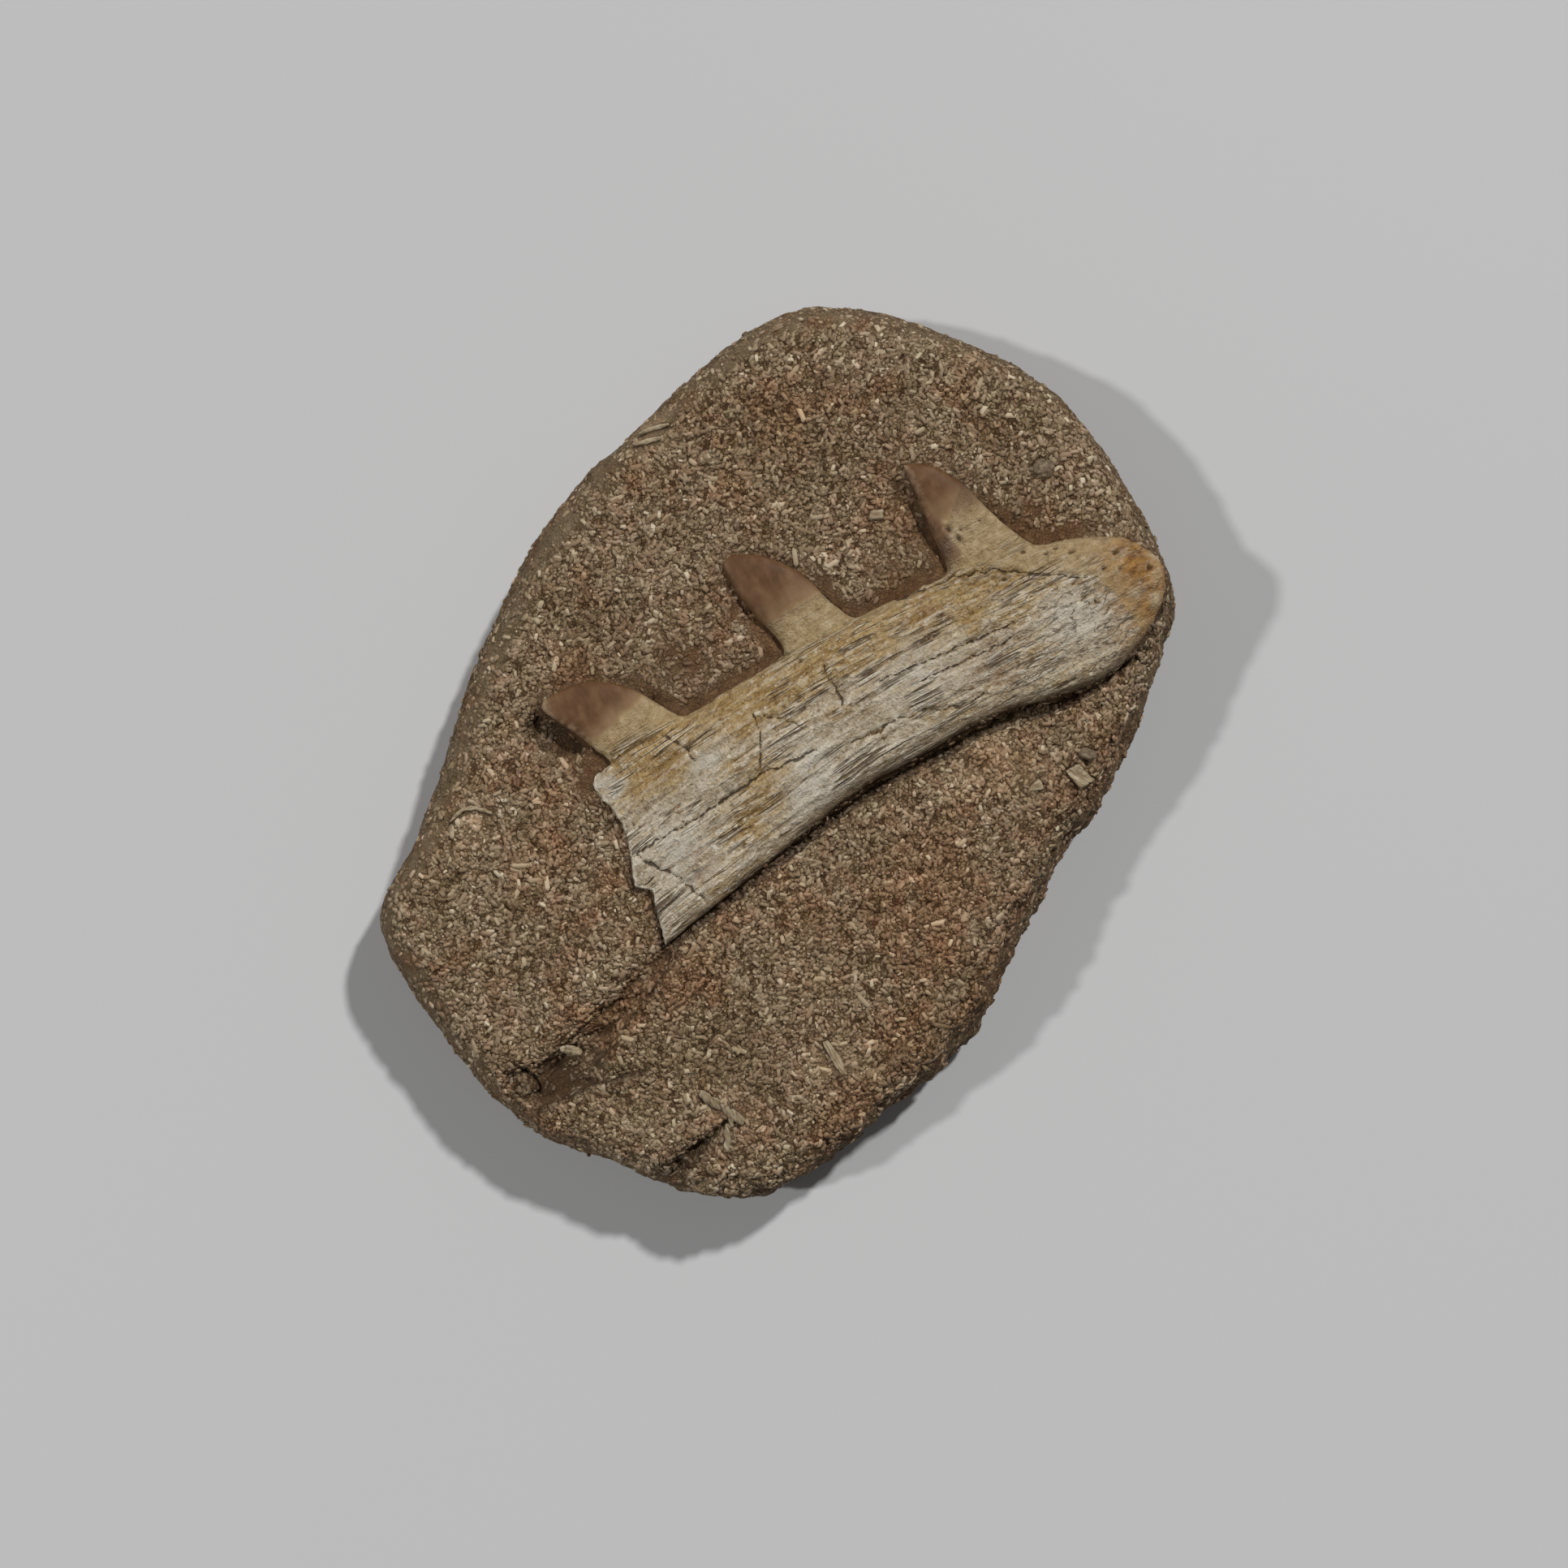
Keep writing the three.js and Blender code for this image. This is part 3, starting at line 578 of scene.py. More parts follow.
def rock_look():
    look = Look("rock", roughness=0.93, shine=0.25)
    place = look.place()
    warped = look.shifted(place, look.noise(place, 1.1, 2, output="Color"), 0.9)
    grain = look.cells(look.stretch(warped, (1, 0.6, 1)), 0.75)
    look.base = look.ramp(grain, {
        0: "#473521", 0.28: "#675139", 0.5: "#826d53", 0.72: "#988468", 0.9: "#af9d81", 1: "#c6b89b",
    })
    to_edge = look.cells(warped, 0.75, "DISTANCE_TO_EDGE", "Distance")
    # Painted shade in the gaps between the fine grains; the bump sinks them too
    gap = 1 - look.band(to_edge, 0, 0.16)
    look.paint(gap * 0.8, "#392812")
    smooth = look.math("ADD", look["worn"], look["stain"], clamp=True)
    skin = look.ramp(look.noise(place, 2.6, 5, 0.65), {0.25: "#5e4f3b", 0.5: "#7b6a52", 0.75: "#948268"})
    look.paint(smooth * 0.85, skin)
    rock_tints(look, place)
    # Painted shade in hollows, along the bone and the fragments, and in the cavity by the rear crown
    look.paint(look["hollow"] * 0.7, "#2c1d0e")
    look.rough(look.ramp(look.noise(place, 1.2, 3), {0.2: 0.84, 0.8: 1}))
    look.bump(look.noise(place, 0.5, 3) - gap * 0.5, 0.25)
    return look.finished()


def grain_look():
    look = Look("rock_grains", roughness=0.62, shine=0.4)
    place = look.place()
    tone = look["tone"] + look.noise(place, 0.5) * 0.1
    look.base = look.ramp(tone, {
        0: "#5c4832", 0.2: "#776248", 0.42: "#8f795f", 0.64: "#a59177", 0.82: "#bcaa8f", 1: "#d8cab1",
    })
    rock_tints(look, place)
    # Painted shade at each grain's foot and where the ground under it is shaded
    painted_shade = look.band(look["foot"], 0.4, 1).at_least(look["hollow"])
    look.paint(painted_shade * 0.75, "#362411")
    return look.finished()


def tooth_colour(look, place):
    """Beige at the root and brown at the tip, with tan in between."""
    fine = look.noise(place, 1.5, 5, 0.65)
    cloud = look.noise(place, 2.8, 4, 0.6, stretch=(1, 0.5, 1))
    root = look.ramp(fine, {0.26: "#7f6743", 0.4: "#a0875e", 0.54: "#b49c74", 0.78: "#ceba95"})
    tan = look.ramp(cloud, {0.28: "#6d523a", 0.5: "#86694c", 0.75: "#9a7e60"})
    brown = look.ramp(cloud, {0.28: "#503825", 0.5: "#684a32", 0.75: "#7e6044"})
    level = look["brown"] + (cloud - 0.5) * 0.5
    lower = look.mix(look.band(level, 0.04, 0.42), root, tan)
    return look.mix(look.band(level, 0.36, 0.85), lower, brown)


def lipped_lines(look, vector, size, width):
    """Thin lines where a noise passes its middle, and the lip beside each, for a painted highlight: 1 on
    it, 0 away from it.
    """
    level = look.noise(vector, size, 2) - 0.5
    line = 1 - look.band(abs(level), 0.2 * width, width)
    lip = 1 - look.band(abs(level - 2.2 * width), 0.3 * width, 1.5 * width)
    return line, lip


def bone_ground(look, place, cloud, mottle, fibre):
    """Colour of the bone without its lines: pale or ochre fibres, and patches that its mesh carries."""
    look.base = look.ramp(fibre, {
        0.33: "#8a7352", 0.43: "#ac9a7e", 0.5: "#c0b096", 0.57: "#d1c3ab", 0.68: "#ece1cb",
    })
    ochre = look.ramp(fibre, {0.33: "#765427", 0.44: "#9c7c48", 0.54: "#b59867", 0.68: "#d2ba8c"})
    torn = (mottle + fibre - 1) * 1.5
    blotch = look.band(cloud, 0.46, 0.66) * 0.5 + look["spongy"] * 0.25
    warm = look["ochre"] + blotch + torn
    look.paint(look.band(warm, 0, 0.85).at_least(0.1), ochre)
    speck = look.ramp(look.noise(place, 0.6, 3, 0.6), {0.33: "#a99a82", 0.5: "#ffffff"})
    look.paint(0.8, speck, "MULTIPLY")
    look.paint(look["whitish"] * look.band(mottle, 0.36, 0.54) * 0.65, "#d3cec1")
    look.paint(look["reddish"] * look.band(mottle, 0.42, 0.6) * 0.6, "#8a5f40")
    # The lower flank browner and darker: partly its own smoother surface, partly painted shade on the side
    # turned away from the light
    flank = look.ramp(cloud, {0.3: "#67533a", 0.5: "#826c4f", 0.7: "#988361"})
    look.paint(look["flank"] * 0.8, flank)
    look.paint(look["smooth"], tooth_colour(look, place))
    orange = look.ramp(mottle, {0.3: "#6a4420", 0.46: "#94682f", 0.6: "#ad803f", 0.78: "#c6a065"})
    look.paint(look["orange"], orange)
    # Painted highlight along edges: the broken end of the bone and the crowns' rear margins
    look.paint(look["rim"], "#d3c9b2")


def bone_look():
    look = Look("bone", roughness=0.66, shine=0.4)
    place = look.place()
    sway = look.noise(place, 2.4, 2, output="Color", stretch=(0.3, 1, 1))
    wavy = look.shifted(place, sway, 0.3)
    speckle = look.noise(wavy, 0.9, 4, 0.65, stretch=(0.5, 1, 0.8))
    fibre = look.noise(wavy, 1, 4, 0.65, stretch=(0.07, 1, 0.6))
    fibre = speckle * 0.6 + fibre * 0.4
    cloud = look.noise(place, 5, 5, 0.65, stretch=(0.35, 1, 1))
    mottle = look.noise(wavy, 1.3, 5, 0.65, stretch=(0.4, 1, 0.8))
    bone_ground(look, place, cloud, mottle, fibre)

    coarse = 1 - look["smooth"] * 0.85
    long_lines, long_lips = lipped_lines(look, look.stretch(wavy, (0.022, 1, 0.4)), 2.2, 0.022)
    short_lines, short_lips = lipped_lines(look, look.stretch(wavy, (0.07, 1, 0.5)), 1.3, 0.026)
    curls, _ = lipped_lines(look, look.stretch(wavy, (0.35, 1, 1)), 1.4, 0.045)
    curls = curls * look.band(mottle, 0.56, 0.42) * look["spongy"]
    streaks = look.noise(place, 4.2, 3, 0.65, stretch=(0.3, 0.8, 0.8))
    lined = look.band(streaks, 0.48, 0.6) * coarse
    # The lip beside each line is a painted highlight, so that the lines read as relief
    lip_highlights = long_lips.at_least(short_lips) * lined * 0.6
    dark = (long_lines.at_least(short_lines * 0.8) * lined).at_least(curls * 0.7)
    glint = look.band(look.noise(place, 0.75, 3, 0.6, stretch=(0.6, 1, 1)), 0.56, 0.68)
    glint = (glint * look.band(cloud, 0.38, 0.6) * coarse).at_least(lip_highlights)
    # Painted highlights on ridges, on small glints and on the lips
    look.paint(look["crest_highlight"] * 0.4, "#efe6d3")
    look.paint(glint * 0.58, "#faf3e2")
    look.paint(dark * 0.8, "#452e12")
    # Painted shade in grooves and under the bone
    look.paint(look["hollow"] * 0.6, "#4d3516")
    jag = look.noise(place, 0.7, 3) * 0.5
    crack = 1 - look.band(look["crack"] + jag, 0.3, 0.46)
    pit = 1 - look.band(look["pit"] + jag, 0.55, 1.35)
    look.paint(crack * 0.85, "#33210e")
    look.paint(pit * 0.8, "#4a351f")
    look.rough(look.ramp(cloud, {0.3: 0.58, 0.7: 0.76}))
    bumps = fibre + look.noise(place, 0.45, 3, 0.6) * 1.2
    look.bump(bumps - crack.at_least(dark), 0.45)
    return look.finished()


def enamel_look():
    look = Look("enamel", roughness=0.6, shine=0.14)
    place = look.place()
    look.base = tooth_colour(look, place)
    # Painted highlight on the rear margins, and painted shade in hollows
    look.paint(look["rim"], "#b3997c")
    look.paint(look["hollow"] * 0.7, "#2f2116")
    look.rough(look.ramp(look["brown"], {0.1: 0.7, 0.9: 0.54}))
    look.bump(look.noise(place, 0.5, 3, stretch=(1, 0.08, 1)), 0.06)
    return look.finished()


def splinter_look():
    look = Look("splinter", roughness=0.75, shine=0.35)
    place = look.place()
    fibre = look.noise(place, 0.4, 4, 0.65, stretch=(0.15, 1, 1))
    look.base = look.ramp(fibre, {0.26: "#6e5838", 0.42: "#937f62", 0.56: "#b0a083", 0.76: "#d3c8af"})
    look.paint(look.band(look.noise(place, 1.8, 3), 0.54, 0.72), "#95805f")
    # Painted highlight on convex edges, and painted shade in hollows
    look.paint(look["rim"], "#d8ccb2")
    look.paint(look["hollow"] * 0.85, "#3a2d20")
    look.bump(fibre, 0.12)
    return look.finished()


def pebble_look():
    look = Look("pebble", roughness=0.85, shine=0.3)
    mottle = look.noise(look.place(), 0.8, 4, 0.6)
    look.base = look.ramp(mottle, {0.28: "#4b3e2f", 0.5: "#776651", 0.74: "#9c8c74"})
    # Painted shade in hollows
    look.paint(look["hollow"] * 0.7, "#2a211a")
    look.bump(mottle, 0.12)
    return look.finished()


# ---- The slab ----

def fragment_skins():
    """An even skin for each splinter, chip and pebble."""
    skins = {}
    for name in FRAGMENTS:
        points, faces = remeshed(*node_arrays(name), FRAGMENT_VOXEL)
        skins[name] = smoothed(points, faces, FRAGMENT_ROUNDS), faces
    return skins


def filled_slab():
    """The slab with its pockets closed a little way below what lies in them."""
    parts = [node_arrays("matrix"), grown("jaw_bone", 0.45, 1.3)]
    parts += [grown(name, 0.45, 0.6) for name in CROWNS]
    parts += [grown(name, 0.4, 0.45) for name in FRAGMENTS]
    return remeshed(*joined(parts), MATRIX_VOXEL)


def inside_facet(points):
    """How far each point lies within the smooth dark facet by the lower rim, in millimetres."""
    xy = stirred(points, 0.5, 2.6, 25)
    reach = np.full(len(points), np.inf)
    for start, end in zip(FACET, FACET[1:] + FACET[:1]):
        edge = np.subtract(end, start)
        across = (edge[0] * (xy[:, 1] - start[1]) - edge[1] * (xy[:, 0] - start[0])) / np.hypot(*edge)
        reach = np.minimum(reach, across)
    return reach


def furrow_and_facet(points, xy):
    """How deep the furrow, with its banks and ribs, and the facet make the ground, and how much painted
    shade they lay on it.
    """
    gap, along, side = path_distance(xy, FURROW)
    wide = 1.2 + 2.8 * along
    ribs = noise(jaw_axes(points), (5, 1, 2), 16)
    banks = bell(gap - 0.8 * wide, 0.55) * np.where(side > 0, 1, 0.55)
    banks *= rise(-0.7, 0.1, noise(points, 3.4, 26))
    floor = bell(gap, wide)
    down = (0.8 + 0.5 * along) * floor * (1 + 0.8 * ribs) + 0.5 * banks
    painted_shade = np.maximum(0.95 * banks, 0.6 * floor * rise(-0.1, 0.5, ribs))
    facet = rise(-0.8, 1.4, inside_facet(points))
    return np.maximum(down, (1.2 + 0.5 * ribs) * facet), np.maximum(painted_shade, facet * (0.85 - 0.35 * ribs))


def rim_landforms(points):
    """The landforms near the lower rim: how deep they make the ground, and how much painted shade they lay
    on it.
    """
    xy = stirred(points, 0.7, 2.6, 14)
    down, painted_shade = furrow_and_facet(points, xy)

    gap, along, side = path_distance(stirred(points, 0.3, 1.8, 15), LEDGE)
    drop = 1.3 * rise(0.3, 0.55, along) * rise(1, 0.8, along)
    down += drop * np.where(side > 0, np.clip(1 - gap / 2.2, 0, 1), bell(gap, 0.35))
    down -= np.where(side > 0, 0, 0.5 * bell(gap - 1.2, 1.1) * rise(0, 0.3, along))
    painted_shade = np.maximum(painted_shade, bell(gap, 0.9 - 0.3 * along))

    gap, along, _ = path_distance(xy, CLEFT)
    down += (0.9 + 1.6 * along) * bell(gap, 0.6 + 1.4 * along**2)
    painted_shade = np.maximum(painted_shade, bell(gap, 0.8 + 2.4 * along**2))

    offset = points[:, :2] - SOCKET
    ring = np.hypot(*offset.T) + 0.6 * noise(points, 2, 17)
    open_side = rise(-0.9, 0.3, (offset @ (0.5, 0.8)) / SOCKET_RADIUS)
    rim = open_side * bell(ring - SOCKET_RADIUS, 0.9)
    within = bell(ring, 2.2)
    down += 1.3 * rim + 0.4 * within
    painted_shade = np.maximum.reduce([painted_shade, rim, 0.75 * within])

    for x, y, radius, height in LUMPS:
        far = np.hypot(points[:, 0] - x, points[:, 1] - y)
        down -= height * bell(far, radius) * (1 + 0.9 * noise(points, 3, 18))
    return down, painted_shade


def carved_landforms(points, away):
    """How deep the undercut below the bone, its crack and the soft trench by the teeth make the ground."""
    own = jaw_axes(points)
    outward = level_on(JAW_LOWER, own[:, 0]) - own[:, 1]
    width = level_on(UNDERCUT, own[:, 0])
    jaw_side = rise(-3, 2, own[:, 0]) * rise(104, 98, own[:, 0])
    rough = 0.25 * noise(own, (4, 1.5, 2), 19)
    under = rise(width + 0.7 + rough, width + 0.1 + rough, outward) * rise(-4, -1, outward)
    gap, _, _ = path_distance(stirred(own, 0.3, 2, 20), SIDE_CRACK)
    down = jaw_side * under + 0.55 * bell(gap, 0.4)
    toothed = rise(11, 15, own[:, 1]) * rise(2, 8, own[:, 0]) * rise(24, 19, own[:, 1])
    trench = 0.45 + 0.3 * noise(own, (6, 3, 4), 12)
    bared = 0.55 * rise(19, 22, own[:, 1]) * rise(1.6, 0.5, away)
    return down + toothed * trench * rise(4, 1, away) + bared


def slab_zones(points, own, normals, away, furrow):
    """Where the slab is stained, worn, rusty, grey or pale; away is from the bone, furrow from that."""
    toothed = rise(11, 15, own[:, 1]) * (own[:, 0] > -8)
    by_teeth = 0.95 * toothed * (1 - rise(1.4, 4, away + 0.9 * noise(points, 2.5, 3)))
    facet = rise(-0.5, 0.9, inside_facet(points) + 0.6 * noise(points, 1.8, 27))
    stain = np.maximum.reduce([
        by_teeth * (0.35 + 0.65 * rise(31, 24, own[:, 1])),
        (0.6 + 0.5 * noise(points, 2.2, 29)) * facet,
        0.34 * rise(3.2, 1.2, furrow),
        0.75 * blobs(own, CARVED, 1.5) * (0.75 + 0.6 * noise(points, 2.5, 4)),
        0.4 * (1 - rise(0.3, 1.2, away)),
    ])
    side = 1 - rise(0.55, 0.9, normals[:, 2])
    brow = rise(0.3, 0.6, normals[:, 2]) * (1 - rise(0.85, 0.985, normals[:, 2])) * (away > 8)
    leftward = 0.85 * -normals[:, 0] + 0.45 * normals[:, 1] + 0.15 * noise(points, 9, 23)
    brow = brow * rise(-0.15, 0.45, leftward)
    rust = np.maximum.reduce([
        blobs(points, RUST, 2.5),
        0.7 * rise(0.15, 0.6, layered(points, 14, 3, 30)),
        0.55 * rise(-15, -22, own[:, 1]) * rise(10, 30, own[:, 0]),
    ])
    return {
        "stain": stain,
        "worn": np.clip(brow * (0.65 + 0.6 * noise(points, 7, 5)) + 0.3 * side, 0, 1),
        "rust": rust,
        "grey": blobs(points, GREY, 2.5),
        "pale": blobs(points, PALE, 2),
    }


def lumps_and_beds(points, top, zones):
    """How far the slab's skin stands out by its lumps and by the beds in its walls."""
    broken = np.maximum(
        rise(10, 30, points[:, 0]) * rise(35, 10, points[:, 1]),
        rise(-22, -12, points[:, 0]) * rise(-54, -62, points[:, 1]),
    )
    lumps = 0.34 * noise(points, 4.4, 1) + 0.3 * noise(points, 2.1, 2) + 0.16 * noise(points, 1.25, 4)
    lumps *= 1 + 0.8 * broken
    beds = 0.25 * noise(points, (14, 14, 2.2), 8) + (0.2 + 0.45 * broken) * noise(points, 6, 9)
    beds += 0.35 * broken * noise(points, (3.4, 3.4, 5), 10)
    quiet = 1 - 0.6 * np.maximum(zones["stain"], 0.8 * zones["worn"])
    return (0.35 * noise(points, 18, 6) + lumps) * quiet + (1 - top) * beds - SKIN_INSET


def closed_below(points, faces, flat):
    """The slab's skin in triangles, with one fan for its flat underside."""
    triangles = halved(faces[~flat[faces].all(1)])
    rim = open_edges(triangles, len(points))
    hub = rim[np.argmin(np.abs(points[rim[:, 0], :2]).sum(1)), 0]
    return np.concatenate([triangles, fan(rim[:, ::-1], hub)])


def build_slab(bone_points, fragment_points):
    """Makes the slab's piece, and returns what its grains need to know."""
    points, faces = filled_slab()
    flat = (normals_of(points, faces)[:, 2] < -0.7) & (points[:, 2] < 1)
    away, which = nearest(points, bone_points, 12)
    beside, _ = nearest(points, fragment_points, 4)
    furrow, _, _ = path_distance(points[:, :2], FURROW)
    calm = rise(2, 5, away) * (0.6 + 0.4 * rise(3, 6, furrow))
    points = smoothed(points, faces, MATRIX_ROUNDS, calm)
    points = smoothed(points, faces, 3)
    points[flat, 2] = 0

    normals = normals_of(points, faces)
    own = jaw_axes(points)
    zones = slab_zones(points, own, normals, away, furrow)
    pitch = rise(0.15, 0.6, blobs(own, PITCH, 0.5))
    rim_depth, rim_shade = rim_landforms(points)
    brim = rise(0.2, 0.6, normals[:, 2])
    top = rise(0.55, 0.9, normals[:, 2])
    shift = lumps_and_beds(points, top, zones)
    shift -= brim * rim_depth + top * (carved_landforms(points, away) + 0.8 * pitch)
    shift = shift * (1 - flat) * rise(0, 1.2, points[:, 2])
    points = kept_inside(points + shift[:, None] * normals)

    # Painted shade: darker along the bone and the crowns where they stand above the ground, in creases, in
    # the cavity by the rear crown, beside the fragments and on the rim's landforms
    towards = direction_in_jaw(bone_points[which] - points)[:, 0] / np.maximum(away, 0.1)
    contact_shade = np.maximum(
        rise(1.1, 0.4, away) * rise(0.1, 0.6, towards),
        rise(0.9, 0.3, away) * rise(2, -4, own[:, 1]),
    )
    hollow = np.maximum.reduce([
        rise(0.08, 0.7, hollowness(points, faces, 14)) * (1 - flat),
        pitch * (0.62 + 0.7 * noise(points, 1.3, 28)),
        0.8 * contact_shade,
        0.8 * rise(0.75, 0.3, beside),
        rim_shade * brim,
    ])
    density = 0.1 + 0.9 * rise(0.3, 0.65, normals[:, 2])
    clean = 1 - 0.9 * rise(0.25, 0.85, zones["stain"])
    density *= clean * (1 - 0.85 * zones["worn"]) * rise(0.3, 0.8, beside)
    density *= (1 - 0.5 * rim_shade) * (1 - 0.7 * pitch) * (1 - flat)
    density *= 1 - 0.9 * rise(1, 0.5, away) * (own[:, 1] > 15)
    attributes = {"place": points, **zones, "hollow": hollow}
    normals = normals_of(points, faces)
    triangles = closed_below(points, faces, flat)
    make_piece("matrix_rock", points, triangles, rock_look(), attributes, ["matrix"], normals)
    return points, faces, normals, density, attributes


# ---- Grains ----

GRAIN_COUNT = 30000
GRAIN_SEED = 2024
# Half lengths: shortest, usual and longest; half widths: narrowest and widest
GRAIN_LENGTHS = (0.28, 0.54, 1.1)
GRAIN_WIDTHS = (0.22, 0.38)
# Share of the grains that are long flat shards
SHARD_SHARE = 0.01
GRAIN_PIECES = 4
GRAIN_SIDES = 4
RING_PLACES = [-0.55, 0.55]
# How dark each corner of a grain is painted, as shade at its foot: its tips, then foot, shoulders and foot
# of each ring
FOOT_SHADE = [0.9, 0.9] + [1, 0, 0, 1] * len(RING_PLACES)


def triangles_of_grain():
    """Corners 0 and 1 are the tips of a grain; the corners of its rings follow."""
    pairs = [(i, (i + 1) % GRAIN_SIDES) for i in range(GRAIN_SIDES)]
    rings = [2 + GRAIN_SIDES * ring for ring in range(len(RING_PLACES))]
    faces = [[0, rings[0] + after, rings[0] + i] for i, after in pairs]
    for low, high in zip(rings, rings[1:]):
        for i, after in pairs:
            faces += [[low + i, low + after, high + after], [low + i, high + after, high + i]]
    return np.array(faces + [[1, rings[-1] + i, rings[-1] + after] for i, after in pairs])


GRAIN_FACES = triangles_of_grain()


def build_grains(slab):
    """Blunt grains that lie half sunk in the slab, each a small bent worm with a flat back."""
    points, faces, normals, density, attributes = slab
    rng = np.random.default_rng(GRAIN_SEED)
    triangles = halved(faces)
    areas = np.linalg.norm(face_vectors(points, triangles), axis=1)
    weight = areas * density[triangles].mean(1)
    chosen = triangles[rng.choice(len(triangles), GRAIN_COUNT, p=weight / weight.sum())]
    share = rng.dirichlet((1, 1, 1), GRAIN_COUNT)
    middle = (points[chosen] * share[:, :, None]).sum(1)
    normal = (normals[chosen] * share[:, :, None]).sum(1)
    normal /= np.linalg.norm(normal, axis=1, keepdims=True)

    def spread(low, high):
        return rng.uniform(low, high, (GRAIN_COUNT, 1))

    heading = rng.normal(size=(GRAIN_COUNT, 3))
    heading -= (heading * normal).sum(1, keepdims=True) * normal * spread(0.8, 1)
    heading /= np.linalg.norm(heading, axis=1, keepdims=True)
    aside = np.cross(normal, heading)
    aside /= np.linalg.norm(aside, axis=1, keepdims=True)
    up = np.cross(heading, aside)

    shard = (rng.random((GRAIN_COUNT, 1)) < SHARD_SHARE).astype(float)
    shortest, usual, longest = GRAIN_LENGTHS
    length = rng.lognormal(math.log(usual), 0.38, (GRAIN_COUNT, 1))
    length = np.clip(length, shortest, longest) * (1 + 1.2 * shard)
    width = np.clip(length * spread(0.4, 0.62), *GRAIN_WIDTHS) * (1 + 0.35 * shard)
    height = width * spread(0.5, 0.9) * (1 - 0.3 * shard)
    middle = middle + normal * height * spread(-0.4, 0.1)
    bow = width * spread(-0.6, 0.6)
    twist = width * spread(-0.4, 0.4) * (1 - shard)
    tips = [middle + end * heading * length + aside * (bow + end * twist) for end in (-1, 1)]
    rings = []
    for place in RING_PLACES:
        hub = middle + heading * length * place - aside * bow
        low = hub - 0.5 * height * up
        high = hub + height * up
        back = 0.72 * width * aside
        rings += [low + width * aside, high + back, high - back, low - width * aside]
    corners = np.stack(tips + rings, 1)
    tone = rng.beta(3, 4.3, GRAIN_COUNT) + 0.22 * (rng.random(GRAIN_COUNT) < 0.12)
    tone += 0.08 * noise(middle, 5, 40)
    carried = {key: attributes[key][chosen[:, 0]] for key in ("rust", "grey", "pale", "stain", "hollow")}
    carried["tone"] = np.clip(tone + 0.25 * shard[:, 0] + 0.22 * carried["pale"], 0, 1)
    material = grain_look()
    size = corners.shape[1]
    for number, part in enumerate(np.array_split(np.arange(GRAIN_COUNT), GRAIN_PIECES)):
        starts = size * np.arange(len(part))[:, None, None]
        place = kept_inside(corners[part].reshape(-1, 3))
        values = {key: np.repeat(value[part], size) for key, value in carried.items()}
        values |= {"place": place, "foot": np.tile(FOOT_SHADE, len(part))}
        grain_faces = (GRAIN_FACES[None] + starts).reshape(-1, 3)
        cells = grain_cells(len(part))
        make_piece(f"rock_grains_{number + 1}", place, grain_faces, material, values, bake=cells)


def grain_cells(count):
    """A small square of the picture for each grain, which all its faces share."""
    across = math.ceil(math.sqrt(count))
    row, column = np.divmod(np.arange(count), across)
    corner = np.stack([column, row], 1)[:, None, None, :]
    triangle = np.array([[0.15, 0.15], [0.85, 0.15], [0.5, 0.85]])
    return np.broadcast_to((corner + triangle[None, None]) / across, (count, len(GRAIN_FACES), 3, 2))


# ---- The bone and the teeth ----

# Where each crown ends: two points of a line, in the jaw's axes
CROWN_LINES = {
    "crown_front": [[73.5, 22.5], [83.2, 31.6]],
    "crown_middle": [[39, 24.6], [52.5, 25.4]],
    "crown_rear": [[5, 20.4], [16.6, 23.4]],
}
# How the brown of each crown begins, in the jaw's axes: [where it starts, where it is full, lean, middle]
BROWN = {
    "crown_front": [22, 36, 0, 80],
    "crown_middle": [20.5, 33, 0.15, 45],
    "crown_rear": [18.8, 27.8, 0.25, 8],
}
# Brown strip down the left margin of the front crown
BROWN_MARGIN = [77.8, 75, 17, 22]
# Stretch of the bone that each crown stands on
CROWN_SPANS = {"crown_front": [70, 90], "crown_middle": [33, 57], "crown_rear": [-6, 23]}
# How far each crown is also copied towards its root, to close the gap there
ROOT_STEP = 0.8
# Stands for "nowhere near"
FAR = 9


def in_span(own, name):
    """Which points are on the stretch of bone that a crown stands on."""
    low, high = CROWN_SPANS[name]
    return (own[:, 0] > low) & (own[:, 0] < high)


def above_line(own, name):
    """How far each point lies beyond the lower end of a crown; far below zero outside the crown's span."""
    (x0, y0), (x1, y1) = CROWN_LINES[name]
    beyond = own[:, 1] - y0 - (y1 - y0) * (own[:, 0] - x0) / (x1 - x0)
    return np.where(in_span(own, name), beyond, -FAR)


def on_crowns(own, blur):
    """From 0 on the bone to 1 on the crowns, with a soft edge."""
    return np.max([rise(-blur, blur, above_line(own, name)) for name in CROWNS], axis=0)


def brownness(own):
    """From 0 on the beige root of a tooth to 1 on its brown tip."""
    brown = np.zeros(len(own))
    for name, (start, full, lean, middle) in BROWN.items():
        level = rise(start, full, own[:, 1] + lean * (middle - own[:, 0]))
        brown = np.where(in_span(own, name), np.maximum(brown, level), brown)
    right, left, low, high = BROWN_MARGIN
    margin = rise(right, left, own[:, 0]) * rise(low, high, own[:, 1]) * (own[:, 0] > 70)
    return np.maximum(brown, 0.75 * margin)


def terraced(values, steps):
    """Values pushed to even steps, with a short climb between each and the next."""
    scaled = values * steps
    whole = np.floor(scaled)
    return (whole + rise(0.44, 0.56, scaled - whole)) / steps


def whole_skin():
    """One even skin over the bone and its three crowns."""
    parts = [node_arrays("jaw_bone")]
    for name in CROWNS:
        crown, faces = node_arrays(name)
        parts += [(crown, faces), (crown - ROOT_STEP * TOOTHWARD, faces)]
    points, faces = remeshed(*joined(parts), JAW_VOXEL)
    own = jaw_axes(points)
    broken_end = rise(1, 5, own[:, 0] - 0.22 * np.maximum(own[:, 1], 0))
    share = np.maximum(0.1 + 0.9 * broken_end, on_crowns(own, 2)) * (1 - 0.62 * on_crowns(own, 2))
    return smoothed(points, faces, JAW_ROUNDS, share), faces


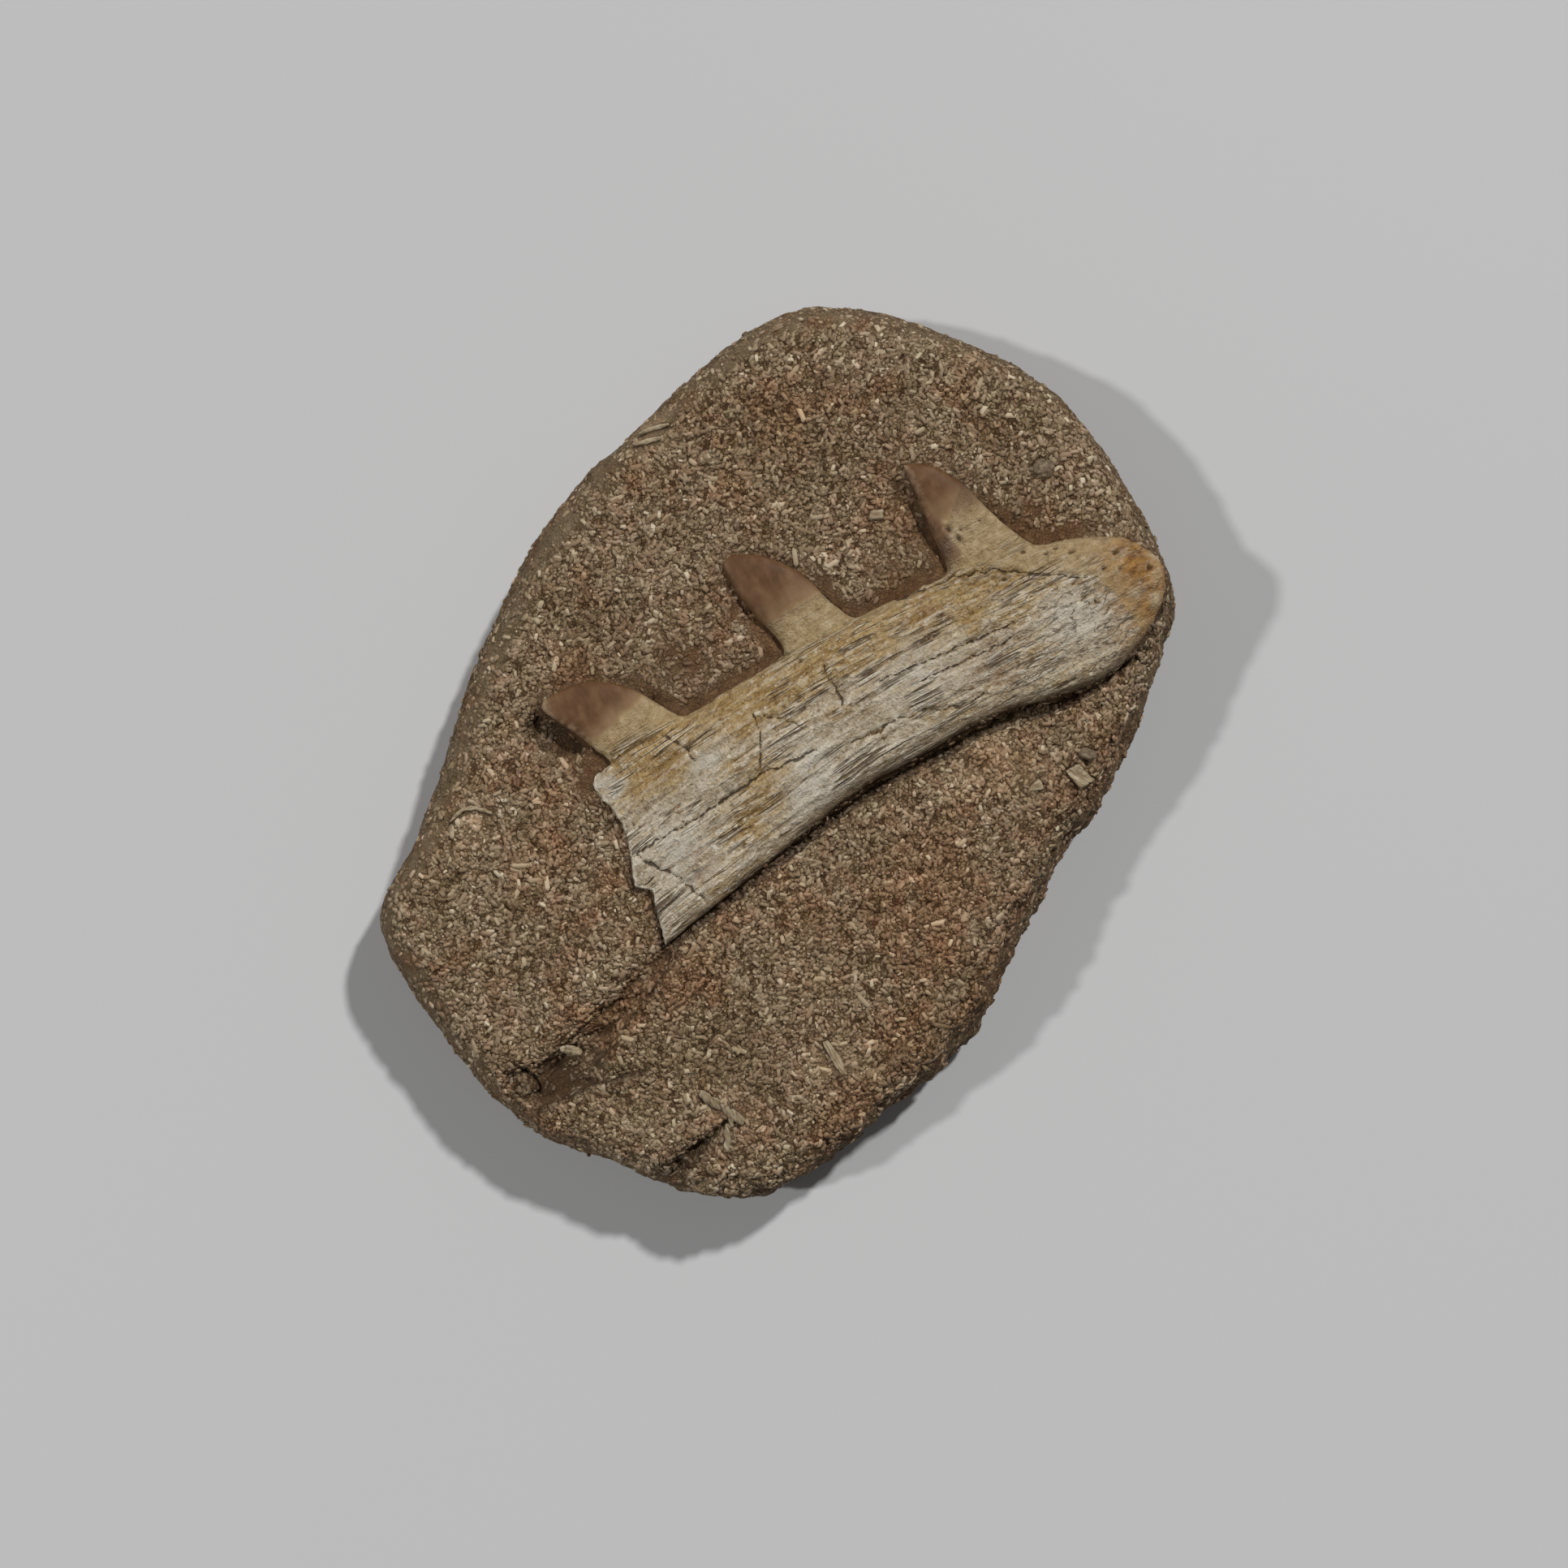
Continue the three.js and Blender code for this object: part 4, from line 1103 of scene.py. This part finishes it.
def bone_zones(own, facing):
    """Numbers from 0 to 1 for the parts of the bone and its teeth; facing is the normals in its axes."""
    along, across = own[:, 0], own[:, 1]
    tooth = on_crowns(own, 0.6)
    stump = rise(15.6, 20.6, across + 1.6 * noise(own, (5, 2.2, 3), 60))
    beyond_edge = across - level_on(BEIGE_EDGE, along) + 0.6 * noise(own, 2.5, 59)
    beyond_edge = rise(-0.7, 0.7, beyond_edge) * (along > 60)
    smooth = np.maximum.reduce([tooth, stump, 0.75 * beyond_edge])
    flank = rise(0.35, 0.85, -facing[:, 1]) * rise(1, -4, across)
    return {
        "tooth": tooth,
        "smooth": smooth,
        "flank": flank,
        "snout": rise(92, 104, along + 2.5 * noise(own, 4, 61)) * rise(14, 7, across),
        "spongy": rise(58, 92, along) * (1 - smooth),
        "fibrous": (1 - 0.85 * smooth) * (1 - 0.7 * flank),
    }


def bone_relief(own, wavy, zone):
    """How far the bone's plates, fibres and pores shift its skin, and where its deep grooves are."""
    along, across = own[:, 0], own[:, 1]
    band = bell(across - 3.6, 1.6) * rise(21, 15, along)
    turns = 2 * math.pi * (across + 0.25 * noise(own, 5, 64)) / 0.9
    parallel = band * (0.5 + 0.5 * np.cos(turns)) ** 2
    deep = grooves(wavy, (30, 3, 5), 0.08, 70)
    fine = grooves(wavy, (16, 1.6, 2.5), 0.13, 74)
    plates = terraced(noise(wavy, (18, 2.8, 6), 50) + 0.15 * noise(wavy, (2.2, 1.6, 2), 49), 3)
    shift = 0.55 * plates + 0.14 * noise(wavy, (9, 1.2, 3), 51)
    shift += 0.22 * noise(wavy, (2.6, 1.5, 1.6), 52)
    shift -= 0.32 * deep + 0.16 * fine + 0.32 * parallel
    pores = rise(0.25, 0.65, noise(wavy, (2.2, 0.9, 1), 53)) * (0.2 + 0.8 * zone["spongy"])
    pores += 1.3 * rise(0.2, 0.65, noise(own, (1.5, 1.2, 1.4), 54)) * zone["snout"]
    closed = np.maximum(zone["flank"], zone["smooth"] * (1 - zone["snout"]))
    shift = shift * zone["fibrous"] - 0.32 * pores * (1 - 0.7 * closed)
    shift += (0.12 * noise(own, 3.2, 55) + 0.07 * noise(own, 1.1, 56)) * (1 - 0.7 * zone["tooth"]) - 0.05
    shift += 0.35 * zone["snout"] * noise(own, 2.6, 67)
    return shift - 0.45 * band, deep


def cracks_and_pits(own, upward):
    """Distance to the nearest crack and, in its own radii, to the nearest pit; FAR on the steep sides."""
    xy = stirred(own, 0.5, 1.7, 57)
    crack = np.min([path_distance(xy, path)[0] for path in BONE_CRACKS], axis=0)
    pit = np.min([np.hypot((own[:, 0] - x) / rx, (own[:, 1] - y) / ry) for x, y, rx, ry in PITS], axis=0)
    pit = np.minimum(pit, FAR) + 0.5 * noise(own, 0.9, 58)
    return np.where(upward > 0.5, np.minimum(crack, FAR), FAR), np.where(upward > 0.5, pit, FAR)


def build_jaw(points, faces):
    normals = normals_of(points, faces)
    own = jaw_axes(points)
    grain = bone_grain(own)
    along, across = own[:, 0], own[:, 1]
    facing = direction_in_jaw(normals)
    seen = rise(-0.2, 0.3, normals[:, 2])
    upward = rise(0, 0.3, normals[:, 2])
    zone = bone_zones(own, facing)
    tooth, smooth, flank = zone["tooth"], zone["smooth"], zone["flank"]
    wavy = grain + (0.4 * noise(grain, (18, 5, 6), 68))[:, None] * (0, 1, 0)
    shift, deep = bone_relief(own, wavy, zone)
    crack, pit = cracks_and_pits(own, upward)
    shift -= 0.3 * bell(crack, 0.35) + 0.6 * np.exp(-(np.maximum(pit, 0) ** 4))
    points = kept_inside(points + (shift * seen)[:, None] * normals)

    dip = hollowness(points, faces, 8)
    # Painted shade in the grooves, and on the low part of the flank under the bone
    hollow = np.clip(0.8 * rise(0.12, 0.4, dip) + 0.25 * deep * zone["fibrous"] * upward, 0, 1)
    under = rise(24.6, 22.5, points[:, 2])
    past_break = along - np.interp(across, *np.transpose(BREAK_LINE)[::-1]) + 0.3 * noise(own, 1.5, 66)
    # Painted highlight along the edge of the broken end, and on the crowns' rear margins
    edge = 0.9 * rise(0.8, 0.25, past_break) * rise(-0.3, 0.1, past_break) * upward
    crest_highlight = 0.8 * tooth * rise(0.02, 0.12, -dip) * rise(0, 0.4, -facing[:, 0])
    crest_highlight *= 1 - 0.8 * ((along > 30) & (along < 60))
    attributes = {
        "place": wavy,
        "hollow": np.maximum(hollow * (1 - 0.5 * tooth), 0.5 * under * flank),
        "ochre": blobs(own, OCHRE, 3) + 0.55 * rise(9, 14, grain[:, 1] + 2.2 * noise(own, 7, 62)),
        "whitish": blobs(own, WHITISH, 3) * (1 - smooth),
        "reddish": blobs(own, REDDISH, 2) * (1 - smooth),
        "flank": np.clip(flank * 1.1, 0, 1) * (1 - tooth),
        "smooth": smooth,
        "orange": np.clip(zone["snout"] * rise(-0.5, 0.2, noise(own, 3, 63) + 0.15), 0, 1),
        # Painted highlight on ridges
        "crest_highlight": rise(0.02, 0.16, -dip) * zone["fibrous"],
        "spongy": zone["spongy"],
        "rim": np.maximum(edge * (across < 15.5), crest_highlight),
        "crack": crack,
        "pit": pit,
        "brown": brownness(own + (0.8 * noise(own, 3.5, 65))[:, None]),
    }
    cut_and_make(points, faces, own, normals_of(points, faces), attributes)


def cut_and_make(points, faces, own, normals, attributes):
    """Cuts the skin into the bone and its crowns, and closes each cut with a fan."""
    triangles = halved(faces)
    owner = np.zeros(len(triangles), int)
    rims = []
    for number, name in enumerate(CROWNS, 1):
        owner[(above_line(own, name)[triangles] > 0).all(1)] = number
        rims.append(open_edges(triangles[owner == number], len(points)))
    hubs = len(points) + np.arange(len(rims))
    caps = [np.concatenate([fan(rim, hub) for rim, hub in zip(rims, hubs)])]
    caps += [fan(rim[:, ::-1], hub) for rim, hub in zip(rims, hubs)]

    def with_hubs(values):
        return np.concatenate([values, [values[np.unique(rim)].mean(0) for rim in rims]])

    points, normals = with_hubs(points), with_hubs(normals)
    attributes = {key: with_hubs(values) for key, values in attributes.items()}
    looks = [bone_look()] + [enamel_look()] * len(CROWNS)
    names = ["jaw"] + [name.replace("crown", "tooth") for name in CROWNS]
    for number, (name, stands_for) in enumerate(zip(names, ["jaw_bone"] + CROWNS)):
        part = np.concatenate([triangles[owner == number], caps[number]])
        make_piece(name, points, part, looks[number], attributes, [stands_for], normals)


# ---- Fragments ----

def build_fragments(skins):
    """Each splinter, chip and pebble, with fibres along its longest axis."""
    looks = {"splinter": splinter_look(), "pebble": pebble_look()}
    for name, (points, faces) in skins.items():
        slot = "pebble" if name in PEBBLES else "splinter"
        forked = name == "forked_splinter"
        middle = points.mean(0)
        spread = np.linalg.svd(points - middle, full_matrices=False)[2]
        own = (points - middle) @ spread.T
        shift = 0.16 * noise(own + middle, (2.2, 0.5, 0.6), 80) + 0.12 * noise(points, 0.8, 81)
        shift = shift + SWELL.get(name, 0) - 0.04
        if forked:
            shift -= 0.5 * bell(own[:, 1] + 0.3 * noise(own, 3, 82), 0.35)
        points = kept_inside(points + shift[:, None] * normals_of(points, faces))
        dip = hollowness(points, faces, 8)
        # Painted shade in hollows and a painted highlight on convex edges; the forked splinter is also
        # darker all over
        attributes = {
            "place": own,
            "hollow": np.maximum(rise(0.02, 0.14, dip), 0.3 * forked),
            "rim": 0.8 * rise(0.04, 0.16, -dip),
        }
        make_piece(f"{name}_detail", points, faces, looks[slot], attributes, [name])


# ---- Floor, lights and camera ----

# How wide the lights look from the slab, in degrees, which softens the edges of their shadows
SUN_SPREAD = 3.5
# Half the side of the floor, and where the camera hangs, in metres
FLOOR_REACH = 3
CAMERA_AT = (0.00157, -0.00563, 0.55)


def build_floor():
    mesh = bpy.data.meshes.new("floor")
    corners = [(x * FLOOR_REACH, y * FLOOR_REACH, 0) for x, y in ((-1, -1), (1, -1), (1, 1), (-1, 1))]
    mesh.from_pydata(corners, [], [(0, 1, 2, 3)])
    floor = bpy.data.objects.new("floor", mesh)
    bpy.context.scene.collection.objects.link(floor)
    look = Look("floor", roughness=0.6)
    look.base = "#c9c9c9"
    mesh.materials.append(look.finished())


def add_sun(name, towards, strength):
    """A light that comes from far away in the direction `towards`."""
    light = bpy.data.lights.new(name, "SUN")
    light.energy = strength
    light.angle = math.radians(SUN_SPREAD)
    lamp = bpy.data.objects.new(name, light)
    lamp.rotation_euler = Vector(towards).to_track_quat("Z", "Y").to_euler()
    bpy.context.scene.collection.objects.link(lamp)


def build_lights():
    add_sun("window", (0.57, 0.82, 1.03), 2.15)
    add_sun("lamp", (-1, 0, 1.11), 1.1)
    world = bpy.data.worlds.new("room")
    world.use_nodes = True
    background = world.node_tree.nodes["Background"].inputs
    background["Color"].default_value = (1, 1, 1, 1)
    background["Strength"].default_value = 0.10
    bpy.context.scene.world = world


def build_camera():
    """Straight above the slab, looking down, with the top of the picture towards +Y."""
    camera = bpy.data.cameras.new("camera")
    camera.sensor_width = 36
    camera.lens = 68.3
    camera.clip_start = 0.01
    body = bpy.data.objects.new("camera", camera)
    body.location = CAMERA_AT
    bpy.context.scene.collection.objects.link(body)
    bpy.context.scene.camera = body


build_camera()
build_floor()
build_lights()
bpy.context.scene.view_settings.view_transform = "Standard"

jaw_points, jaw_faces = whole_skin()
fragments = fragment_skins()
fragment_points = np.concatenate([points for points, _ in fragments.values()])[::5]
bone_points = jaw_points[jaw_points[:, 2] > BURIED_BELOW][::4]
slab = build_slab(bone_points, fragment_points)
build_grains(slab)
build_jaw(jaw_points, jaw_faces)
build_fragments(fragments)
